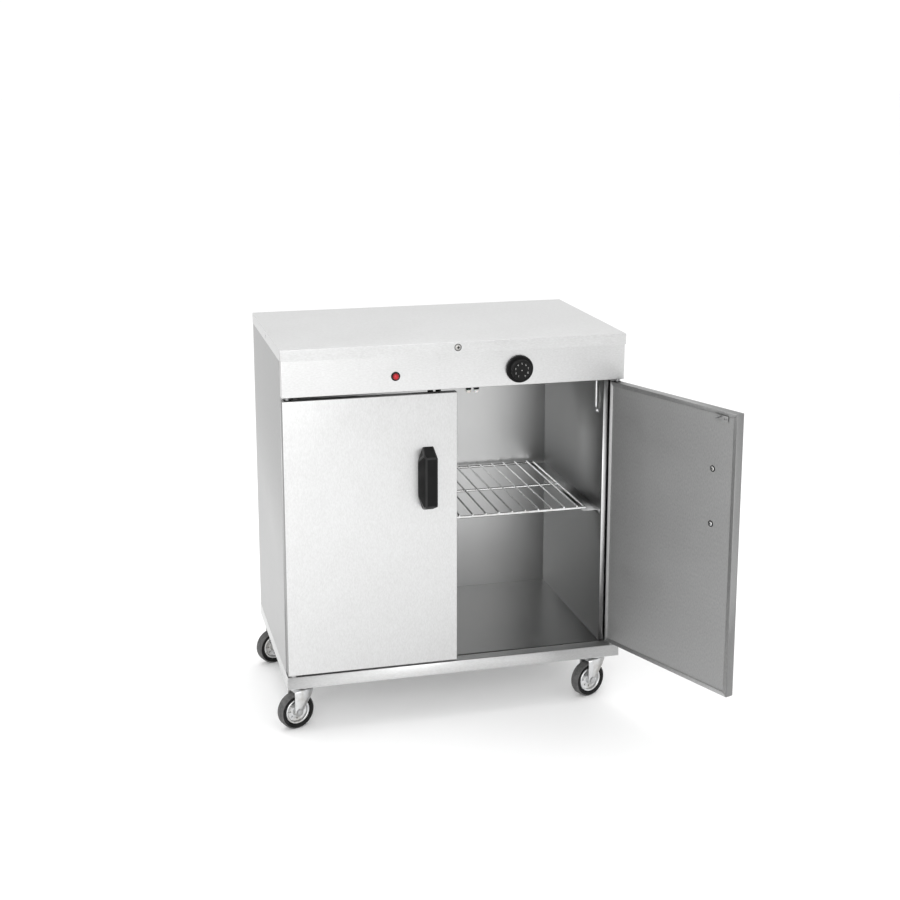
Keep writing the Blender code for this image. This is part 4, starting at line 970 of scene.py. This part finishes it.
def handle_screws(side, body, place):
    """Heads of the pull's screws on the door's inner face, each on its washer."""
    heads, rings = [], []
    for end in ("upper", "lower"):
        high, middle = in_door(f"handle_screw_left_{end}")[1:]
        spot = place @ aim((0, 1, 0), (middle.x, high.y - 2.2 * MM, middle.z))
        flattened = at(0, 0, 0.6 * MM) @ Matrix.Diagonal((1, 1, 0.8, 1))
        heads.append(moved(pan_head(4.6 * MM, 1.9 * MM), spot @ flattened))
        rings.append(moved(washer(2.2 * MM, 6.4 * MM, 0.5 * MM, 32, 0.4 * MM), spot))
    nodes = [f"handle_screw_{side}_{end}" for end in ("upper", "lower")]
    piece(f"pull_screws_{side}", joined(*heads), SCREW, body, nodes)
    piece(f"pull_washers_{side}", joined(*rings), BLACK, body, ())


def strike(side, body, place):
    """Plate with two slots and two screws, and the tongue that the catch's rollers hold."""
    low, high, middle = in_door("strike_left")
    face = in_door("door_skin_left")[1].y + FIT
    thick, height, slot_x, slot_z = 1.5 * MM, 12 * MM, 11 * MM, 6 * MM
    half_slot = Vector((3.5, 5, 1.5)) * MM
    top = low.z + height
    plate = rounded_block((low.x, face, low.z), (high.x, face + thick, top), 0.5 * MM)
    middles = [Vector((middle.x + end * slot_x, face, top - slot_z)) for end in (-1, 1)]
    plate = carved(plate, [rounded_block(spot - half_slot, spot + half_slot, 0.4 * MM) for spot in middles])
    tongue = rounded_block((middle.x - 1 * MM, face + 0.8 * MM, high.z - 4 * MM),
                           (middle.x + 1 * MM, high.y, high.z), 0.5 * MM)
    heads = [moved(pan_head(2.6 * MM, 1.5 * MM), aim((0, 1, 0), spot + Vector((0, thick, 0))))
             for spot in middles]
    nodes = [f"strike_{side}"]
    # The strike plate takes the lining's darker copy, painted shade.
    piece(f"strike_plate_{side}", moved(plate, place), DOOR_LINER_SHADED[side], body, nodes)
    piece(f"strike_tongue_{side}", moved(joined(tongue, *heads), place), STRIKE, body, nodes)


def roller_catches():
    """Under the ceiling: a folded bracket with two nylon rollers, each under a black cup that stands for the
    shade above the roller.
    """
    radius, plate, bore, cup_top, cup_end = 6 * MM, 2 * MM, 2 * MM, -2.2 * MM, -12 * MM
    for side in ("left", "right"):
        low, high, middle = span(f"roller_catch_{side}")
        half, drop = (high.x - low.x) / 2, high.z - low.z
        bracket = rounded_block((low.x, low.y + 0.2 * MM, high.z - plate), high, 0.6 * MM)
        cup = [(bore, cup_top), (radius * 0.99, cup_top), (radius * 0.99, cup_end + 0.5 * MM),
               (radius * 0.92, cup_end), (bore, cup_end), (bore, cup_top)]
        roller_top, ball = cup_end - 0.2 * MM, radius - drop
        angles = [math.radians(step * 11.25) for step in range(8)]
        roller = [(0, roller_top), (radius * 0.84, roller_top), (radius * 0.96, cup_end - 1.6 * MM),
                  *[(radius * math.cos(a), ball - radius * math.sin(a)) for a in angles], (0, -drop)]
        spots = [at(middle.x + end * (half - radius), low.y + radius, high.z) for end in (-1, 1)]
        # The black cups are painted shade: the dark arc above each roller.
        cups = [moved(turned(cup, 32), spot) for spot in spots]
        rollers = [moved(turned(roller, 36), spot) for spot in spots]
        nodes = [f"roller_catch_{side}"]
        piece(f"catch_bracket_{side}", bracket, ZINC, "cabinet", nodes)
        piece(f"catch_shade_cups_{side}", joined(*cups), BLACK, "cabinet", ())
        piece(f"catch_rollers_{side}", joined(*rollers), NYLON, "cabinet", nodes)


# ---- castors, in a castor's own frame -----------------------------------------------------------
def castor_plate(corner):
    """Square plate with rounded corners, its swivel race, and four nuts on washers."""
    low, high, middle = span(f"castor_plate_{corner}")
    half, thick, bolt_inset = (high.x - low.x) / 2, 3 * MM, 9 * MM
    bottom = high.z - thick
    plate = block((-half, -half, bottom), (half, half, high.z))
    bevel(plate, [e for e in plate.edges if abs(e.verts[0].co.z - e.verts[1].co.z) > MM], 5 * MM, 5)
    level = [e for e in plate.edges if abs(e.verts[0].co.z - e.verts[1].co.z) < HAIR]
    bevel(plate, [e for e in level if len(e.link_faces) == 2 and e.calc_face_angle() > 1], 0.5 * MM, 2)
    race = [(0, bottom + 1 * MM), (21 * MM, bottom + 0.2 * MM), (21 * MM, bottom - 0.2 * MM),
            (18.6 * MM, bottom - 1.6 * MM), (17 * MM, bottom - 5.2 * MM), (17 * MM, low.z + 2.4 * MM),
            (16.2 * MM, low.z + 0.6 * MM), (15 * MM, low.z), (0, low.z)]
    parts = [plate, turned(race, 48)]
    bolt, washer_thick = half - bolt_inset, 0.9 * MM
    for x in (-bolt, bolt):
        for y in (-bolt, bolt):
            spot = at(x, y, bottom - HAIR) @ FACING_DOWN
            parts.append(moved(washer(0, 6 * MM, washer_thick, 24), spot))
            parts.append(moved(hex_head(8 * MM, 3 * MM), spot @ at(0, 0, washer_thick)))
    whole = moved(joined(*parts), at(middle.x, middle.y, 0))
    piece(f"castor_top_{corner}", whole, ZINC, "cabinet", [f"castor_plate_{corner}"])


def castor_fork(corner, place):
    """Pressed fork, its crown and cheeks one folded sheet, with the king pin's rivet and the axle's nuts."""
    top = span(f"castor_fork_{corner}")[1].z
    eye, outer, crown_length = 9.5 * MM, 17 * MM, 45 * MM
    back = -CASTOR_TRAIL - eye
    shape = bmesh.new()
    bmesh.ops.create_grid(shape, x_segments=1, y_segments=1, size=0.5)
    bmesh.ops.scale(shape, vec=(crown_length, 2 * outer, 1), verts=shape.verts)
    bmesh.ops.translate(shape, vec=(back + crown_length / 2, 0, top), verts=shape.verts)
    folds = [e for e in shape.edges if abs(e.verts[0].co.y - e.verts[1].co.y) < MM]
    foot = [(back + 38 * MM, AXLE_Z + 30 * MM), (12.5 * MM - CASTOR_TRAIL, AXLE_Z + 7 * MM),
            *arc((-CASTOR_TRAIL, AXLE_Z), eye, 0, -180, 12)]
    for fold in folds:
        rear, front = sorted(fold.verts, key=lambda v: v.co.x)
        shape.faces.new([rear, front] + [shape.verts.new((x, rear.co.y, z)) for x, z in foot])
    bmesh.ops.recalc_face_normals(shape, faces=shape.faces)
    crown = next(f for f in shape.faces if abs(f.normal.z) > 0.9)
    if crown.normal.z < 0:
        bmesh.ops.reverse_faces(shape, faces=shape.faces)
    bevel(shape, folds, 3.4 * MM, 5)
    body = f"{corner}_fork"
    piece(f"castor_yoke_{corner}", moved(shape, place), ZINC, body, [f"castor_fork_{corner}"],
          FORK_SHEET)

    rivet = outline((0, -2.4), (5, -2.4), (7, -1.4), (7.4, 0), (0, 0))
    parts = [moved(turned(rivet, 32), at(0, 0, top - FORK_SHEET - HAIR))]
    cheek, washer_thick = outer + HAIR, 0.8 * MM
    for side in (-1, 1):
        spot = aim((0, side, 0), (-CASTOR_TRAIL, side * cheek, AXLE_Z))
        parts.append(moved(washer(0, 7.4 * MM, washer_thick, 28, 0.4 * MM), spot))
        parts.append(moved(hex_head(11 * MM, 2.2 * MM), spot @ at(0, 0, washer_thick)))
    parts.append(rod((-CASTOR_TRAIL, -cheek, AXLE_Z), (-CASTOR_TRAIL, cheek, AXLE_Z), 4 * MM, 20))
    piece(f"castor_bolt_{corner}", moved(joined(*parts), place), BOLT, body, [f"castor_axle_{corner}"])


def mirrored_ring(half, steps):
    """A turned ring from one side's outline and its mirror image below Z = 0."""
    other = [(radius, -height) for radius, height in reversed(half)]
    return turned(half + other + half[:1], steps)


def wheel_centre_shape():
    """Two pressed discs back to back: hub, dished web with eight slots, and a rolled edge. Its axle is Z."""
    side = [*outline((4.3, 13.2), (7.6, 13.2), (8.6, 12.2), (9.2, 9.0), (10.6, 6.2), (13, 5.2), (20.5, 4.6),
                     (22.6, 5.4), (24.0, 8.2)),
            *arc((26.2 * MM, 9.0 * MM), 2.2 * MM, 165, 15, 6), (28.7 * MM, 7.6 * MM)]
    count = 8
    low, high = Vector((14.6, -1.5, -20)) * MM, Vector((19.4, 1.5, 20)) * MM
    slots = [moved(rounded_block(low, high, 0.8 * MM), turn(math.tau * number / count))
             for number in range(count)]
    return carved(mirrored_ring(side, 64), slots)


def tyre_shape():
    """Solid tyre: a flat tread with a fine groove at each edge, and rounded shoulders. Its axle is Z."""
    half, outer, shoulder, groove = 12 * MM, AXLE_Z, 5 * MM, 0.25 * MM
    side = [(29 * MM, half - 3.4 * MM), (29.6 * MM, half - 2 * MM), (31 * MM, half - 0.8 * MM),
            (33 * MM, half), (34.6 * MM, half), *arc((outer - shoulder, half - shoulder), shoulder, 80, 6, 7),
            (outer, half - 5.6 * MM), (outer - groove, half - 5.9 * MM), (outer - groove, half - 6.3 * MM),
            (outer, half - 6.6 * MM)]
    shape = mirrored_ring(side, 72)
    # Faces off the tread take the first finish: the sides painted near black as shade.
    for face in shape.faces:
        face.material_index = int(face.calc_center_median().xy.length > outer - 3.4 * MM)
    return shape


def castors():
    centre, tyre = wheel_centre_shape(), tyre_shape()
    for corner in CORNERS:
        place = castor_matrix(corner)
        castor_plate(corner)
        castor_fork(corner, place)
        axle = place @ aim((0, -1, 0), (-CASTOR_TRAIL, 0, AXLE_Z))
        body = f"{corner}_wheel"
        piece(f"wheel_disc_{corner}", moved(centre.copy(), axle), WHEEL, body, [f"castor_rim_{corner}"])
        piece(f"wheel_tyre_{corner}", moved(tyre.copy(), axle), [TYRE_SIDE_SHADED, TREAD], body,
              [f"castor_tyre_{corner}"])
    centre.free()
    tyre.free()


# ---- studio -------------------------------------------------------------------------------------
FLOOR_HALF = 40
WORLD_STRENGTH = 1.05
LIGHTS = [      # name, place, target, size, watts
    ("front_box", (-1.6, -3.6, 1.9), (-0.1, 0, 0.5), (2.6, 2.0), 66),
    ("top_box", (0.0, 0.6, 3.2), (0, 0, 0.4), (3.0, 2.6), 30),
]
CAMERA_PLACE = (-0.8363, -3.0151, 1.4544)
CAMERA_DOWN, CAMERA_RIGHT = math.radians(12.007), math.radians(14.374)
CAMERA_LENS, CAMERA_SHIFT = 59.37, -0.1


def studio():
    """Pale floor, even white surroundings and two soft boxes."""
    floor = bmesh.new()
    bmesh.ops.create_grid(floor, x_segments=1, y_segments=1, size=FLOOR_HALF)
    mesh = bpy.data.meshes.new("studio_floor")
    floor.to_mesh(mesh)
    floor.free()
    ground = bpy.data.objects.new("studio_floor", mesh)
    bpy.context.scene.collection.objects.link(ground)
    mesh.materials.append(pale_floor())

    world = bpy.data.worlds.new("studio")
    world.use_nodes = True
    bpy.context.scene.world = world
    background = world.node_tree.nodes["Background"]
    background.inputs["Color"].default_value = (1, 1, 1, 1)
    background.inputs["Strength"].default_value = WORLD_STRENGTH

    for name, place, target, size, power in LIGHTS:
        light = bpy.data.lights.new(name, "AREA")
        light.shape = "RECTANGLE"
        light.size, light.size_y = size
        light.energy = power
        lamp = bpy.data.objects.new(name, light)
        bpy.context.scene.collection.objects.link(lamp)
        lamp.location = place
        lamp.rotation_euler = (Vector(target) - Vector(place)).to_track_quat("-Z", "Y").to_euler()


def camera():
    data = bpy.data.cameras.new("camera")
    data.lens, data.sensor_width, data.shift_y = CAMERA_LENS, 36.0, CAMERA_SHIFT
    data.clip_start, data.clip_end = 0.05, 60
    seen = bpy.data.objects.new("camera", data)
    bpy.context.scene.collection.objects.link(seen)
    seen.location = CAMERA_PLACE
    seen.rotation_euler = (math.radians(90) - CAMERA_DOWN, 0, -CAMERA_RIGHT)
    bpy.context.scene.camera = seen


def build():
    worktop()
    control_fascia()
    side_sheets()
    base_tray()
    back_screws()
    cable_gland()
    lining()
    thermostat_knob()
    pilot_lamp()
    temperature_sensor()
    wire_shelf()
    shelf_runners()
    roller_catches()
    door("left")
    door("right")
    castors()
    dress("back_panel", STEEL_Z)
    # The back lining takes the lighter copy, and the floor and ceiling the darker copies: painted light and
    # shade.
    dress("liner_back", BACK_LINING)
    dress("cavity_floor", FLOOR_LINING_SHADED)
    dress("cavity_ceiling", CEILING_LINING_SHADED)
    dress("heating_element", SHEATH)
    dress("thermostat_body", ZINC)
    dress("thermostat_spindle", ZINC)


build()
studio()
camera()
bpy.context.scene.view_settings.view_transform = "Standard"

bpy.context.view_layer.update()
